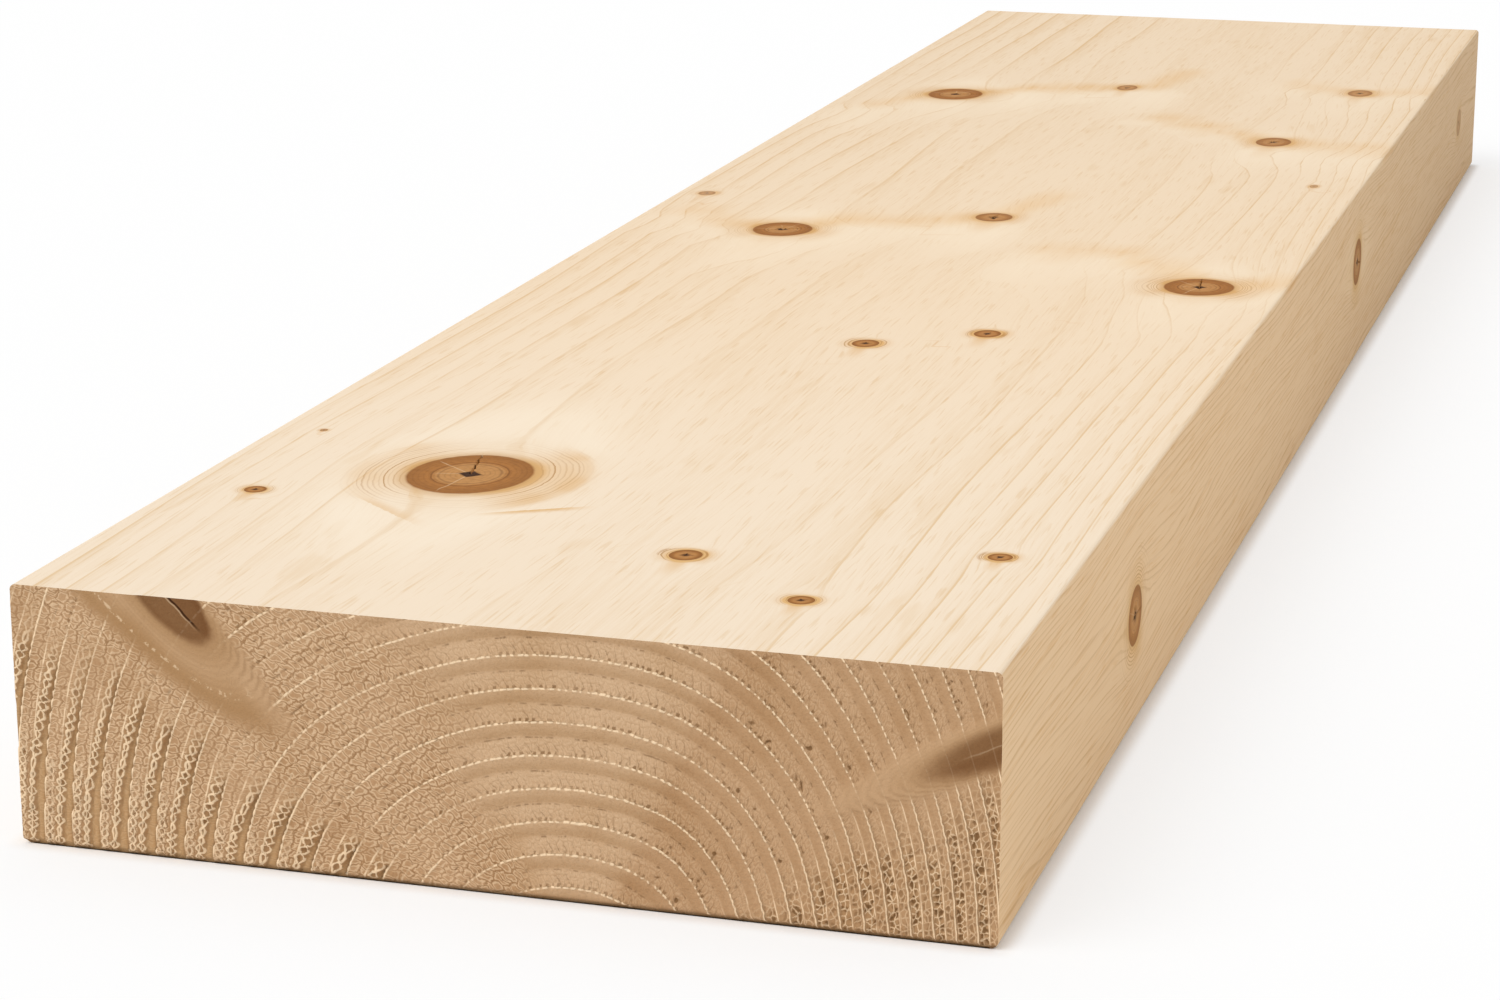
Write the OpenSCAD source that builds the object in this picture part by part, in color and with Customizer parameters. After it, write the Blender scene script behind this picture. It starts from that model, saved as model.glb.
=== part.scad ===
// Planed softwood plank, sawn from one log as a single piece.
// The wide face lies level and the length runs along Y.
// The origin is at the centre of the underside, so the plank rests on Z = 0.

/* [Section] */
// Width of the wide faces, in millimetres
plank_width = 140; // [60:1:300]
// Thickness between the wide faces
plank_thickness = 38; // [16:1:100]

/* [Length] */
// Length between the two sawn ends
plank_length = 600; // [200:1:6000]

/* [Arrises] */
// Radius of the eased edges along the upper face
upper_arris_radius = 0.8; // [0.2:0.1:5]
// Radius of the eased edges along the underside
lower_arris_radius = 1.3; // [0.2:0.1:5]

/* [Hidden] */
// How far the arris cutter starts outside the square stock
overcut = 1;
$fn = 64;

// What the planer takes off one square corner at the origin, with the stock in the positive quarter
module arris_waste(radius) {
    difference() {
        translate([-overcut, -overcut]) square(radius + overcut);
        translate([radius, radius]) circle(radius);
    }
}

// Cross section with its four eased corners, standing on the X axis
module plank_section() {
    difference() {
        translate([-plank_width / 2, 0]) square([plank_width, plank_thickness]);
        for (side = [0, 1]) mirror([side, 0]) translate([-plank_width / 2, 0]) {
            arris_waste(lower_arris_radius);
            translate([0, plank_thickness]) mirror([0, 1]) arris_waste(upper_arris_radius);
        }
    }
}

// The whole plank, planed to its section and sawn square at both ends
module plank() {
    color("burlywood")
        translate([0, plank_length / 2, 0]) rotate([90, 0, 0])
            linear_extrude(plank_length) plank_section();
}

plank();
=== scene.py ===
"""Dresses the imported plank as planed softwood, with its grain, its knots and its sawn ends."""

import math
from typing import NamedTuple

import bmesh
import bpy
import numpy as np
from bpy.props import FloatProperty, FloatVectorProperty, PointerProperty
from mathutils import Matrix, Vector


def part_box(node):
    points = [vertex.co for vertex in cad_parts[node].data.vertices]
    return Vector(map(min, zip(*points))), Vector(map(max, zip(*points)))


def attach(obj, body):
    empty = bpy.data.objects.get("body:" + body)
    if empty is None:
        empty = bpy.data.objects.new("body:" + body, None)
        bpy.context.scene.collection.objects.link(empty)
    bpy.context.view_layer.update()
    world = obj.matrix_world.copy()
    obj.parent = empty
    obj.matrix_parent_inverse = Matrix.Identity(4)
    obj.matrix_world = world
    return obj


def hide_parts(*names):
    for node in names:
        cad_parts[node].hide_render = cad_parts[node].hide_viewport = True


bl_info = {
    "name": "Softwood Plank",
    "version": (1, 0, 0),
    "blender": (4, 5, 0),
    "location": "View3D > Sidebar > Plank",
    "description": "Dresses a planed softwood plank with grain, knots and sawn ends",
    "category": "Mesh",
}

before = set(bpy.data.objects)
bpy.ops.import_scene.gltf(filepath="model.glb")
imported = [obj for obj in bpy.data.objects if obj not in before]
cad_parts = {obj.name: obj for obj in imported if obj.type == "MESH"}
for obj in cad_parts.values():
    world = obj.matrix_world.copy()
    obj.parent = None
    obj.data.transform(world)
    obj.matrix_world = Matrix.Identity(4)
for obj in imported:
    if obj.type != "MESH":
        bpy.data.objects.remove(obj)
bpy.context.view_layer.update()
_, PLANK_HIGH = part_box("plank")

MM = 1000.0
HALF_WIDTH = PLANK_HIGH.x * MM
HALF_LENGTH = PLANK_HIGH.y * MM
THICKNESS = PLANK_HIGH.z * MM
TOP = "top"
RIGHT = "right"
LEFT = "left"
SIDES = {RIGHT: 1.0, LEFT: -1.0}


class Knot(NamedTuple):
    """A branch that the saw cut through, as it shows on one face of the plank, in millimetres."""

    face: str
    across: float
    along: float
    half_across: float
    half_along: float
    tone: float = 1.0
    spin: float = 0.0

    @property
    def size(self):
        """Mean radius."""
        return (self.half_across + self.half_along) / 2

    @property
    def centre(self):
        """Its place on the plank."""
        if self.face == TOP:
            return Vector((self.across, self.along, THICKNESS))
        return Vector((SIDES[self.face] * HALF_WIDTH, self.along, self.across))

    @property
    def unrolled(self):
        """Its place on the faces, laid out flat beside the upper one."""
        if self.face == TOP:
            return Vector((self.across, self.along, 0.0))
        return Vector((SIDES[self.face] * (HALF_WIDTH + THICKNESS - self.across), self.along, 0.0))

    @property
    def check(self):
        """The open check, from the heart to the rim."""
        turn = math.radians(self.spin)
        aside = math.cos(turn) * self.half_across
        ahead = math.sin(turn) * self.half_along
        if self.face == TOP:
            return Vector((aside, ahead, 0.0))
        return Vector((0.0, ahead, -SIDES[self.face] * aside))


KNOTS = (
    Knot(TOP, -29.8, -227.0, 9.6, 11.6, 1.0, 103.0),
    Knot(TOP, -57.7, -244.5, 1.7, 1.9, 1.0, 20.0),
    Knot(TOP, -61.9, -208.0, 0.6, 0.8, 0.8, 75.0),
    Knot(TOP, 15.1, -260.0, 2.4, 2.7, 1.0, 8.0),
    Knot(TOP, 36.7, -276.5, 1.9, 2.0, 1.0, 30.0),
    Knot(TOP, 58.0, -248.5, 1.8, 1.9, 1.0, 55.0),
    Knot(TOP, 5.5, -123.5, 2.4, 3.0, 1.0, 15.0),
    Knot(TOP, 24.4, -110.0, 2.4, 3.0, 1.0, 70.0),
    Knot(TOP, -37.0, -28.0, 6.0, 7.2, 1.0, 25.0),
    Knot(TOP, 1.4, -3.5, 3.8, 4.6, 0.9, 80.0),
    Knot(TOP, -63.4, 5.5, 1.8, 2.4, 0.7, 10.0),
    Knot(TOP, 53.8, -60.0, 6.6, 7.6, 1.0, 95.0),
    Knot(TOP, 43.0, 103.0, 4.0, 6.0, 0.9, 40.0),
    Knot(TOP, -43.3, 150.0, 6.6, 8.4, 1.0, 15.0),
    Knot(TOP, -4.3, 172.0, 2.5, 4.2, 0.8, 60.0),
    Knot(TOP, 52.9, 179.5, 3.0, 5.2, 0.8, 35.0),
    Knot(TOP, 59.8, 50.0, 0.9, 1.8, 0.6, 5.0),
    Knot(RIGHT, 18.2, -207.1, 4.7, 5.4, 0.9, 90.0),
    Knot(RIGHT, 22.3, 48.6, 5.0, 6.2, 0.9, 75.0),
    Knot(RIGHT, 19.1, 256.5, 3.6, 5.0, 0.5, 60.0),
    Knot(LEFT, 17.0, -96.0, 5.5, 6.5, 1.0, 45.0),
    Knot(LEFT, 24.0, 128.0, 4.5, 5.2, 0.9, 110.0),
)


class EndKnot(NamedTuple):
    """A branch that the saw cut along its length, as it shows on an end, in millimetres."""

    end: float
    across: float
    up: float
    heading: float
    core_half: float
    core_long: float
    halo_half: float
    halo_long: float
    softness: float
    cracked: float


NEAR_END = -1.0
FAR_END = 1.0
END_KNOTS = (
    EndKnot(NEAR_END, -46.6, 38.3, -45.0, 3.5, 8.6, 7.6, 25.5, 0.14, 1.0),
    EndKnot(NEAR_END, 70.4, 28.2, -154.0, 2.4, 10.5, 4.2, 27.0, 0.4, 0.0),
    EndKnot(FAR_END, 34.0, 38.3, -112.0, 3.2, 9.0, 6.8, 27.0, 0.2, 1.0),
)


class Streak(NamedTuple):
    """A resin streak on the upper face, sharp along one side, in millimetres."""

    start: tuple
    end: tuple
    width: float
    strength: float


STREAKS = (
    Streak((-40.0, -245.5), (-28.0, -255.6), 3.0, 0.5),
    Streak((-8.5, -240.5), (-20.5, -247.4), 2.4, 0.9),
)


class Whorl(NamedTuple):
    """A stretch of the upper face that runs from branch to branch, in millimetres."""

    start: tuple
    end: tuple
    strength: float


WHORLS = (
    Whorl((-60.0, -14.0), (-37.0, -28.0), 0.7),
    Whorl((-37.0, -26.0), (-26.0, -14.0), 1.0),
    Whorl((-26.0, -14.0), (1.4, -4.0), 0.8),
    Whorl((1.4, -3.5), (8.0, 21.0), 0.9),
    Whorl((20.0, -34.0), (33.0, -31.0), 0.7),
    Whorl((33.0, -31.0), (53.8, -56.0), 0.8),
    Whorl((53.8, -60.0), (70.0, -52.0), 0.8),
    Whorl((-58.0, 132.0), (-43.3, 150.0), 0.7),
    Whorl((-43.3, 150.0), (-26.7, 164.0), 1.0),
    Whorl((-26.7, 164.0), (2.0, 175.0), 1.0),
    Whorl((2.0, 175.0), (6.0, 200.0), 1.0),
    Whorl((13.0, 130.0), (43.0, 103.0), 0.9),
    Whorl((43.0, 103.0), (70.0, 98.0), 0.7),
    Whorl((36.0, 190.0), (52.9, 179.5), 0.6),
    Whorl((52.9, 179.5), (70.0, 188.0), 0.6),
)


class PlankGrowth(bpy.types.PropertyGroup):
    """How the log grew."""

    ring_width: FloatProperty(
        name="Ring width",
        description="Wood that the stem added in one year, straight above the pith",
        default=0.00465,
        unit="LENGTH",
    )
    pith_across: FloatProperty(
        name="Pith across",
        description="Where the pith lies across the width",
        default=0.0115,
        unit="LENGTH",
    )
    pith_height: FloatProperty(
        name="Pith height",
        description="Height of the pith, which lies below the underside",
        default=-0.014,
        unit="LENGTH",
    )


class PlankColours(bpy.types.PropertyGroup):
    """Colours of the wood."""

    earlywood: FloatVectorProperty(
        name="Earlywood",
        description="Pale wood between the ring lines of the planed faces",
        default=(0.88, 0.735, 0.568),
        subtype="COLOR",
    )
    latewood: FloatVectorProperty(
        name="Latewood",
        description="Ring lines of the planed faces",
        default=(0.768, 0.56, 0.34),
        subtype="COLOR",
    )
    sap_light: FloatVectorProperty(
        name="Sap light",
        description="Bleached wood that flows past a knot",
        default=(0.93, 0.81, 0.65),
        subtype="COLOR",
    )
    resin_tan: FloatVectorProperty(
        name="Resin tan",
        description="Resin-stained wood close to a knot",
        default=(0.73, 0.45, 0.19),
        subtype="COLOR",
    )
    knot_wood: FloatVectorProperty(
        name="Knot wood",
        description="Body of a knot",
        default=(0.43, 0.180, 0.046),
        subtype="COLOR",
    )
    knot_dark: FloatVectorProperty(
        name="Knot dark",
        description="Rim, rings and heart of a knot",
        default=(0.14, 0.052, 0.016),
        subtype="COLOR",
    )
    knot_core: FloatVectorProperty(
        name="Knot core",
        description="Inner wood of a knot",
        default=(0.53, 0.265, 0.092),
        subtype="COLOR",
    )
    # Painted shade: near-black for the shade inside the open checks, heart holes and cracks of knots
    check_shade: FloatVectorProperty(
        name="Check dark",
        description="Inside of the drying checks",
        default=(0.05, 0.02, 0.008),
        subtype="COLOR",
    )
    loop_brown: FloatVectorProperty(
        name="Loop brown",
        description="Fine ring lines that run round a knot",
        default=(0.46, 0.235, 0.08),
        subtype="COLOR",
    )
    # Painted shade: makes the narrow edges darker and deeper in colour, standing in for their dimmer
    # light
    edge_shade_tint: FloatVectorProperty(
        name="Edge tint",
        description="What the narrow edges keep of the colour of the wide faces",
        default=(0.94, 0.80, 0.62),
        subtype="COLOR",
    )
    whorl_tint: FloatVectorProperty(
        name="Whorl tint",
        description="What the bands from branch to branch keep of the colour of the wood",
        default=(0.95, 0.84, 0.68),
        subtype="COLOR",
    )
    ripe_tint: FloatVectorProperty(
        name="Ripe tint",
        description="What the wide faces keep of their colour away from the near end",
        default=(0.99, 0.947, 0.885),
        subtype="COLOR",
    )
    end_earlywood: FloatVectorProperty(
        name="End earlywood",
        description="Rough pale wood of the sawn ends",
        default=(0.60, 0.40, 0.238),
        subtype="COLOR",
    )
    end_latewood: FloatVectorProperty(
        name="End latewood",
        description="Smooth dense bands of the sawn ends",
        default=(0.48, 0.30, 0.16),
        subtype="COLOR",
    )
    end_groove: FloatVectorProperty(
        name="End groove",
        description="Smooth floor of the grooves that the saw tore along a ring",
        default=(0.53, 0.33, 0.165),
        subtype="COLOR",
    )
    # Also painted shade: this brown darkens the sunken ground under the chains and in the lace
    end_stain_and_shade: FloatVectorProperty(
        name="End stain",
        description="Resin-brown wood beside a knot that the saw cut along its length",
        default=(0.38, 0.215, 0.095),
        subtype="COLOR",
    )
    # Also painted highlight: this pale colour lights the raised lips, wires and walls and the glints
    # of the sawn ends
    end_fibre_and_highlight: FloatVectorProperty(
        name="End fibre",
        description="Raised pale fibres of the sawn ends",
        default=(0.93, 0.71, 0.47),
        subtype="COLOR",
    )
    end_halo: FloatVectorProperty(
        name="End halo",
        description="Dense smooth wood round a knot that the saw cut along its length",
        default=(0.55, 0.35, 0.195),
        subtype="COLOR",
    )
    end_core: FloatVectorProperty(
        name="End core",
        description="Dark heartwood of a knot that the saw cut along its length",
        default=(0.225, 0.112, 0.047),
        subtype="COLOR",
    )
    # Also painted shade: this dark brown darkens the pits, the notches beside the lips and the net's
    # grooves
    end_pit_and_shade: FloatVectorProperty(
        name="End pit",
        description="Floor of the torn pits of the sawn ends",
        default=(0.22, 0.115, 0.045),
        subtype="COLOR",
    )
    crumb_tint: FloatVectorProperty(
        name="Crumb tint",
        description="What the crumbs of the sawn ends keep of their colour",
        default=(0.80, 0.74, 0.66),
        subtype="COLOR",
    )
    patch_tint: FloatVectorProperty(
        name="Patch tint",
        description="What the dull patches of the sawn ends keep of their colour",
        default=(0.90, 0.86, 0.80),
        subtype="COLOR",
    )
    dim_tint: FloatVectorProperty(
        name="Dim tint",
        description="What both sides of the sawn ends keep of their colour",
        default=(0.86, 0.80, 0.74),
        subtype="COLOR",
    )


class PlankRelief(bpy.types.PropertyGroup):
    """Sizes of the relief and of the mesh that carries it."""

    upper_arris: FloatProperty(
        name="Upper arris",
        description="Radius of the eased edges along the upper face",
        default=0.0008,
        unit="LENGTH",
    )
    lower_arris: FloatProperty(
        name="Lower arris",
        description="Radius of the eased edges along the underside",
        default=0.0013,
        unit="LENGTH",
    )
    groove_depth: FloatProperty(
        name="Groove depth",
        description="How far the saw tore the soft bands out of an end",
        default=0.0007,
        unit="LENGTH",
    )
    fibre_cell: FloatProperty(
        name="Fibre cell",
        description="Spacing of the teeth along the torn lip of a ring",
        default=0.00105,
        unit="LENGTH",
    )
    check_depth: FloatProperty(
        name="Check depth",
        description="Depth of the drying checks in the knots",
        default=0.0012,
        unit="LENGTH",
    )


class PlankStage(bpy.types.PropertyGroup):
    """Floor, light and camera."""

    floor_colour: FloatVectorProperty(
        name="Floor",
        description="Colour of the plain floor",
        default=(0.93, 0.93, 0.93),
        subtype="COLOR",
    )
    sky_strength: FloatProperty(
        name="Sky strength",
        description="Level of the even light from all around",
        default=0.74,
    )
    key_strength: FloatProperty(
        name="Key strength",
        description="Level of the soft lamp",
        default=1.3,
    )
    key_direction: FloatVectorProperty(
        name="Key direction",
        description="Towards the soft lamp",
        default=(-0.42, -0.50, 0.76),
        subtype="DIRECTION",
    )
    key_spread: FloatProperty(
        name="Key spread",
        description="Angle that the soft lamp fills",
        default=math.radians(50.0),
        subtype="ANGLE",
    )
    camera_place: FloatVectorProperty(
        name="Camera place",
        description="Where the camera stands",
        default=(0.166, -0.739, 0.184),
        subtype="TRANSLATION",
    )
    camera_turn: FloatProperty(
        name="Camera turn",
        description="Angle from the length of the plank round to the camera",
        default=math.radians(16.45),
        subtype="ANGLE",
    )
    camera_tilt: FloatProperty(
        name="Camera tilt",
        description="Angle that the camera looks down",
        default=math.radians(15.36),
        subtype="ANGLE",
    )
    camera_lens: FloatProperty(
        name="Camera lens",
        description="Focal length in millimetres",
        default=88.75,
    )


class Field:
    """A value in a node tree. Arithmetic on it adds the nodes that work it out."""

    def __init__(self, tree, socket):
        self.tree = tree
        self.socket = socket

    def __add__(self, other):
        return arithmetic("ADD", self, other)

    def __radd__(self, other):
        return arithmetic("ADD", other, self)

    def __sub__(self, other):
        return arithmetic("SUBTRACT", self, other)

    def __rsub__(self, other):
        return arithmetic("SUBTRACT", other, self)

    def __mul__(self, other):
        return arithmetic("MULTIPLY", self, other)

    def __rmul__(self, other):
        return arithmetic("MULTIPLY", other, self)

    def __truediv__(self, other):
        return arithmetic("DIVIDE", self, other)

    def __rtruediv__(self, other):
        return arithmetic("DIVIDE", other, self)

    def __pow__(self, other):
        return number("POWER", self, other)


def tree_of(values):
    """The tree that the first field among the values belongs to."""
    return next(value.tree for value in values if isinstance(value, Field))


def feed(socket, value):
    """Links a field to a socket, or sets the socket to a plain value."""
    if isinstance(value, Field):
        value.tree.links.new(value.socket, socket)
    else:
        socket.default_value = value


def is_vector(value):
    """True for a field of vectors and for a plain vector."""
    if isinstance(value, Field):
        return value.socket.type == "VECTOR"
    return not isinstance(value, (int, float))


def number(operation, *values):
    """A Math node."""
    tree = tree_of(values)
    node = tree.nodes.new("ShaderNodeMath")
    node.operation = operation
    for socket, value in zip(node.inputs, values):
        feed(socket, value)
    return Field(tree, node.outputs["Value"])


def vector_node(operation, values):
    """A Vector Math node with its first inputs fed."""
    tree = tree_of(values)
    node = tree.nodes.new("ShaderNodeVectorMath")
    node.operation = operation
    for socket, value in zip(node.inputs, values):
        feed(socket, value)
    return node


def vector(operation, *values):
    """A Vector Math node that gives a vector."""
    return Field(tree_of(values), vector_node(operation, values).outputs["Vector"])


def measure(operation, *values):
    """A Vector Math node that gives a number."""
    return Field(tree_of(values), vector_node(operation, values).outputs["Value"])


def scaled(place, factor):
    """A vector field times a number."""
    node = place.tree.nodes.new("ShaderNodeVectorMath")
    node.operation = "SCALE"
    feed(node.inputs["Vector"], place)
    feed(node.inputs["Scale"], factor)
    return Field(place.tree, node.outputs["Vector"])


def arithmetic(operation, first, second):
    """One of the four sums on numbers or vectors."""
    if not (is_vector(first) or is_vector(second)):
        return number(operation, first, second)
    if operation == "MULTIPLY" and not is_vector(second):
        return scaled(first, second)
    if operation == "DIVIDE" and not is_vector(second):
        return scaled(first, 1.0 / second)
    return vector(operation, first, second)


def parts(place):
    """The three numbers of a vector field."""
    node = place.tree.nodes.new("ShaderNodeSeparateXYZ")
    feed(node.inputs[0], place)
    return [Field(place.tree, socket) for socket in node.outputs]


def joined(x, y, z):
    """A vector field from three numbers."""
    tree = tree_of((x, y, z))
    node = tree.nodes.new("ShaderNodeCombineXYZ")
    for socket, value in zip(node.inputs, (x, y, z)):
        feed(socket, value)
    return Field(tree, node.outputs[0])


def flat_length(first, second):
    """How long a flat vector is."""
    return measure("LENGTH", joined(first, second, 0.0))


def ramp(value, low, high, at_low, at_high):
    """Goes smoothly from one value at low to another at high."""
    node = value.tree.nodes.new("ShaderNodeMapRange")
    node.interpolation_type = "SMOOTHSTEP"
    for label, given in zip(("Value", "From Min", "From Max"), (value, low, high)):
        feed(node.inputs[label], given)
    node.inputs["To Min"].default_value = at_low
    node.inputs["To Max"].default_value = at_high
    return Field(value.tree, node.outputs["Result"])


def smooth(value, low, high):
    """Rises smoothly from 0 at low to 1 at high."""
    return ramp(value, low, high, 0.0, 1.0)


def fall(value, low, high):
    """Falls smoothly from 1 at low to 0 at high."""
    return ramp(value, low, high, 1.0, 0.0)


def hump(value, start, full, end, gone):
    """1 between full and end, and 0 before start and after gone."""
    return smooth(value, start, full) * fall(value, end, gone)


def blended(first, second, share):
    """First where share is 0 and second where it is 1."""
    tree = tree_of((first, second, share))
    node = tree.nodes.new("ShaderNodeMix")
    vectors = is_vector(first) or is_vector(second)
    node.data_type = "VECTOR" if vectors else "FLOAT"
    inputs = [s for s in node.inputs if s.enabled]
    for socket, value in zip(inputs, (share, first, second)):
        feed(socket, value)
    return Field(tree, next(s for s in node.outputs if s.enabled))


def tinted(first, second, share):
    """A colour field, first where share is 0 and second where it is 1."""
    tree = tree_of((first, second, share))
    node = tree.nodes.new("ShaderNodeMix")
    node.data_type = "RGBA"
    inputs = [s for s in node.inputs if s.enabled]
    for socket, value in zip(inputs, (share, first, second)):
        feed(socket, value if isinstance(value, (Field, float)) else (*value, 1.0))
    return Field(tree, next(s for s in node.outputs if s.enabled))


def stained(colour, tint, share):
    """A colour field, multiplied by a tint as far as share says."""
    made = tinted(colour, tint, share)
    made.socket.node.blend_type = "MULTIPLY"
    return made


def noise(place, detail=2.0, roughness=0.5):
    """Smooth noise from 0 to 1, one swell to each unit of place."""
    node = place.tree.nodes.new("ShaderNodeTexNoise")
    node.noise_dimensions = "3D"
    feed(node.inputs["Vector"], place)
    node.inputs["Scale"].default_value = 1.0
    node.inputs["Detail"].default_value = detail
    node.inputs["Roughness"].default_value = roughness
    return Field(place.tree, node.outputs[0])


def cell_walls(place, randomness):
    """How far a flat place is from the nearest wall of a net of cells, one to each unit."""
    node = place.tree.nodes.new("ShaderNodeTexVoronoi")
    node.voronoi_dimensions = "2D"
    node.feature = "DISTANCE_TO_EDGE"
    feed(node.inputs["Vector"], place)
    node.inputs["Scale"].default_value = 1.0
    node.inputs["Randomness"].default_value = randomness
    return Field(place.tree, node.outputs["Distance"])


def strongest(*values):
    """The greatest of several numbers."""
    most = values[0]
    for value in values[1:]:
        most = number("MAXIMUM", most, value)
    return most


class Wood(NamedTuple):
    """What grew at a place. Offset and reach are in radii of the nearest knot."""

    grain: Field
    close: Field
    band: Field
    flame: Field
    offset: Field
    reach: Field
    size: Field
    spin: Field
    tone: Field


NUMBER = "NodeSocketFloat"
VECTOR = "NodeSocketVector"
# What the knots before have made of a place, and what one knot brings to it
SO_FAR = {"Shift": NUMBER, "Close": NUMBER, "Offset": VECTOR, "Marks": VECTOR, "Reach": NUMBER}
OWN = {"Flat": VECTOR, "Per Radius": VECTOR, "Own Place": VECTOR, "Own Marks": VECTOR, "Size": NUMBER}
# The fibres flow round a knot in a shape twice as long as the knot, and never part at its heart
FLOW_STRETCH = (1.0, 0.5, 1.0)
FLOW_CORE = 0.7


def knot_group():
    """A node group that adds one knot to what has grown so far."""
    name = "plank_knot"
    if name in bpy.data.node_groups:
        return bpy.data.node_groups[name]
    tree = bpy.data.node_groups.new(name, "GeometryNodeTree")
    for label, socket in {**SO_FAR, **OWN}.items():
        tree.interface.new_socket(label, in_out="INPUT", socket_type=socket)
    for label, socket in SO_FAR.items():
        tree.interface.new_socket(label, in_out="OUTPUT", socket_type=socket)
    entry = tree.nodes.new("NodeGroupInput")
    given = {label: Field(tree, entry.outputs[label]) for label in (*SO_FAR, *OWN)}
    local = vector("MULTIPLY_ADD", given["Flat"], given["Per Radius"], given["Own Place"])
    reach = measure("LENGTH", local)
    flow = local * FLOW_STRETCH
    strength = given["Size"] / (measure("DOT_PRODUCT", flow, flow) + FLOW_CORE)
    nearer = number("LESS_THAN", reach, given["Reach"])
    made = {
        "Shift": number("MULTIPLY_ADD", parts(local)[0], strength, given["Shift"]),
        "Close": given["Close"] + strength,
        "Offset": blended(given["Offset"], local, nearer),
        "Marks": blended(given["Marks"], given["Own Marks"], nearer),
        "Reach": number("MINIMUM", reach, given["Reach"]),
    }
    leave = tree.nodes.new("NodeGroupOutput")
    for label, value in made.items():
        feed(leave.inputs[label], value)
    return tree


# How the rings depart from circles, by the place across and above the pith in millimetres
RIGHT_TURN = (0.0, 15.0)
SQUEEZED = (-12.0, 12.0)
SQUEEZE = 0.12
SQUEEZE_PER_MM = 0.0044
TIGHT_FROM = -50.0
TIGHT_PER_MM = 0.11
LEFT_TURN = (-75.0, -15.0)
LOW_WOOD = (20.0, 44.0)
ROUNDNESS = 2.15
LEFT_ROUNDNESS = 0.75
RIGHT_ROUNDNESS = 0.16
LOW_ROUNDNESS = 0.22
FIRST_RING = 0.47


def stem_rings(place, growth):
    """How many rings lie between the pith and a place in wood that no branch has bent."""
    across, _, up = parts(place)
    across = across - growth.pith_across * MM
    up = number("ABSOLUTE", up - growth.pith_height * MM)
    rightward = smooth(across, *RIGHT_TURN)
    squeeze = 1.0 + SQUEEZE * smooth(across, *SQUEEZED)
    squeeze = squeeze + SQUEEZE_PER_MM * number("MAXIMUM", across, 0.0)
    tight = TIGHT_PER_MM * number("MAXIMUM", TIGHT_FROM - across, 0.0)
    roundness = ROUNDNESS + LEFT_ROUNDNESS * fall(across, *LEFT_TURN)
    roundness = roundness + rightward * (RIGHT_ROUNDNESS + LOW_ROUNDNESS * fall(up, *LOW_WOOD))
    across = number("ABSOLUTE", across * squeeze) + tight
    radius = (across ** roundness + up ** roundness) ** (1.0 / roundness)
    return radius / (growth.ring_width * MM) + FIRST_RING


LEAST_SHARE = 0.05


def unrolled(place, growth):
    """A place, followed out from the pith to the faces, which are laid out flat.

    Gives the flat place, and the way that a shift across it moves the place itself.
    """
    across, along, up = parts(place)
    out = across - growth.pith_across * MM
    rise = up - growth.pith_height * MM
    top_share = rise / (THICKNESS - growth.pith_height * MM)
    side_share = number(
        "MAXIMUM",
        out / (HALF_WIDTH - growth.pith_across * MM),
        out / (-HALF_WIDTH - growth.pith_across * MM),
    )
    sideways = number("GREATER_THAN", side_share, top_share)
    turn = number("SIGN", out)
    side_height = rise / number("MAXIMUM", side_share, LEAST_SHARE) + growth.pith_height * MM
    on_top = out / top_share + growth.pith_across * MM
    on_side = (HALF_WIDTH + THICKNESS - side_height) * turn
    flat = joined(blended(on_top, on_side, sideways), along, 0.0)
    return flat, joined(1.0 - sideways, 0.0, sideways * turn * -1.0)


# Vectors that the mesh keeps at its points
PUSH = "fibre_push"
OFFSET = "knot_offset"
MARKS = "knot_marks"
CLOSE = "knot_closeness"
# In radii of a knot: further than any knot shows, and how far the kept reach may be off
FAR_AWAY = 50.0
BLEND_GAP = 0.3
# Heights over which the wood of the underside passes into that of the edges, in millimetres
UNDERSIDE = (0.3, 1.2)
UPPER_WOOD = (THICKNESS - 1.5, THICKNESS - 0.8)
# Bands from branch to branch, and the pale flames on their near side, in millimetres
WHORL_SWELLS = (0.09, 0.05, 0.09)
WHORL_HALF = 7.0
WHORL_DRIFT = 16.0
WHORL_STRETCH = 0.6
FLAME_LENGTH = (0.0, 12.0, 16.0, 52.0)
FLAME_HALF = (3.0, 14.0)


def on_the_way(out, way):
    """How far along a way a place lies that is out from its start, from 0 to 1."""
    share = measure("DOT_PRODUCT", out, way / way.length_squared)
    return number("MINIMUM", number("MAXIMUM", share, 0.0), 1.0)


def whorl_bands(place):
    """How far the tan bands of the branch whorls show, and the pale flames before them."""
    across, along, up = parts(place)
    drift = (noise(place * WHORL_SWELLS, 1.0) - 0.5) * WHORL_DRIFT
    here = joined(across, along + drift, 0.0)
    band, flame = 0.0, 0.0
    for whorl in WHORLS:
        start = Vector((*whorl.start, 0.0))
        way = Vector((*whorl.end, 0.0)) - start
        out = here - start
        share = on_the_way(out, way)
        gap_x, gap_y, _ = parts(out - joined(share * way.x, share * way.y, 0.0))
        mark = fall(flat_length(gap_x, gap_y * WHORL_STRETCH), 0.0, WHORL_HALF)
        band = number("MAXIMUM", mark * whorl.strength, band)
        before = hump(gap_y * -1.0, *FLAME_LENGTH) * fall(number("ABSOLUTE", gap_x), *FLAME_HALF)
        flame = number("MAXIMUM", before * whorl.strength, flame)
    upper = smooth(up, *UPPER_WOOD)
    return band * upper, flame * upper


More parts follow.
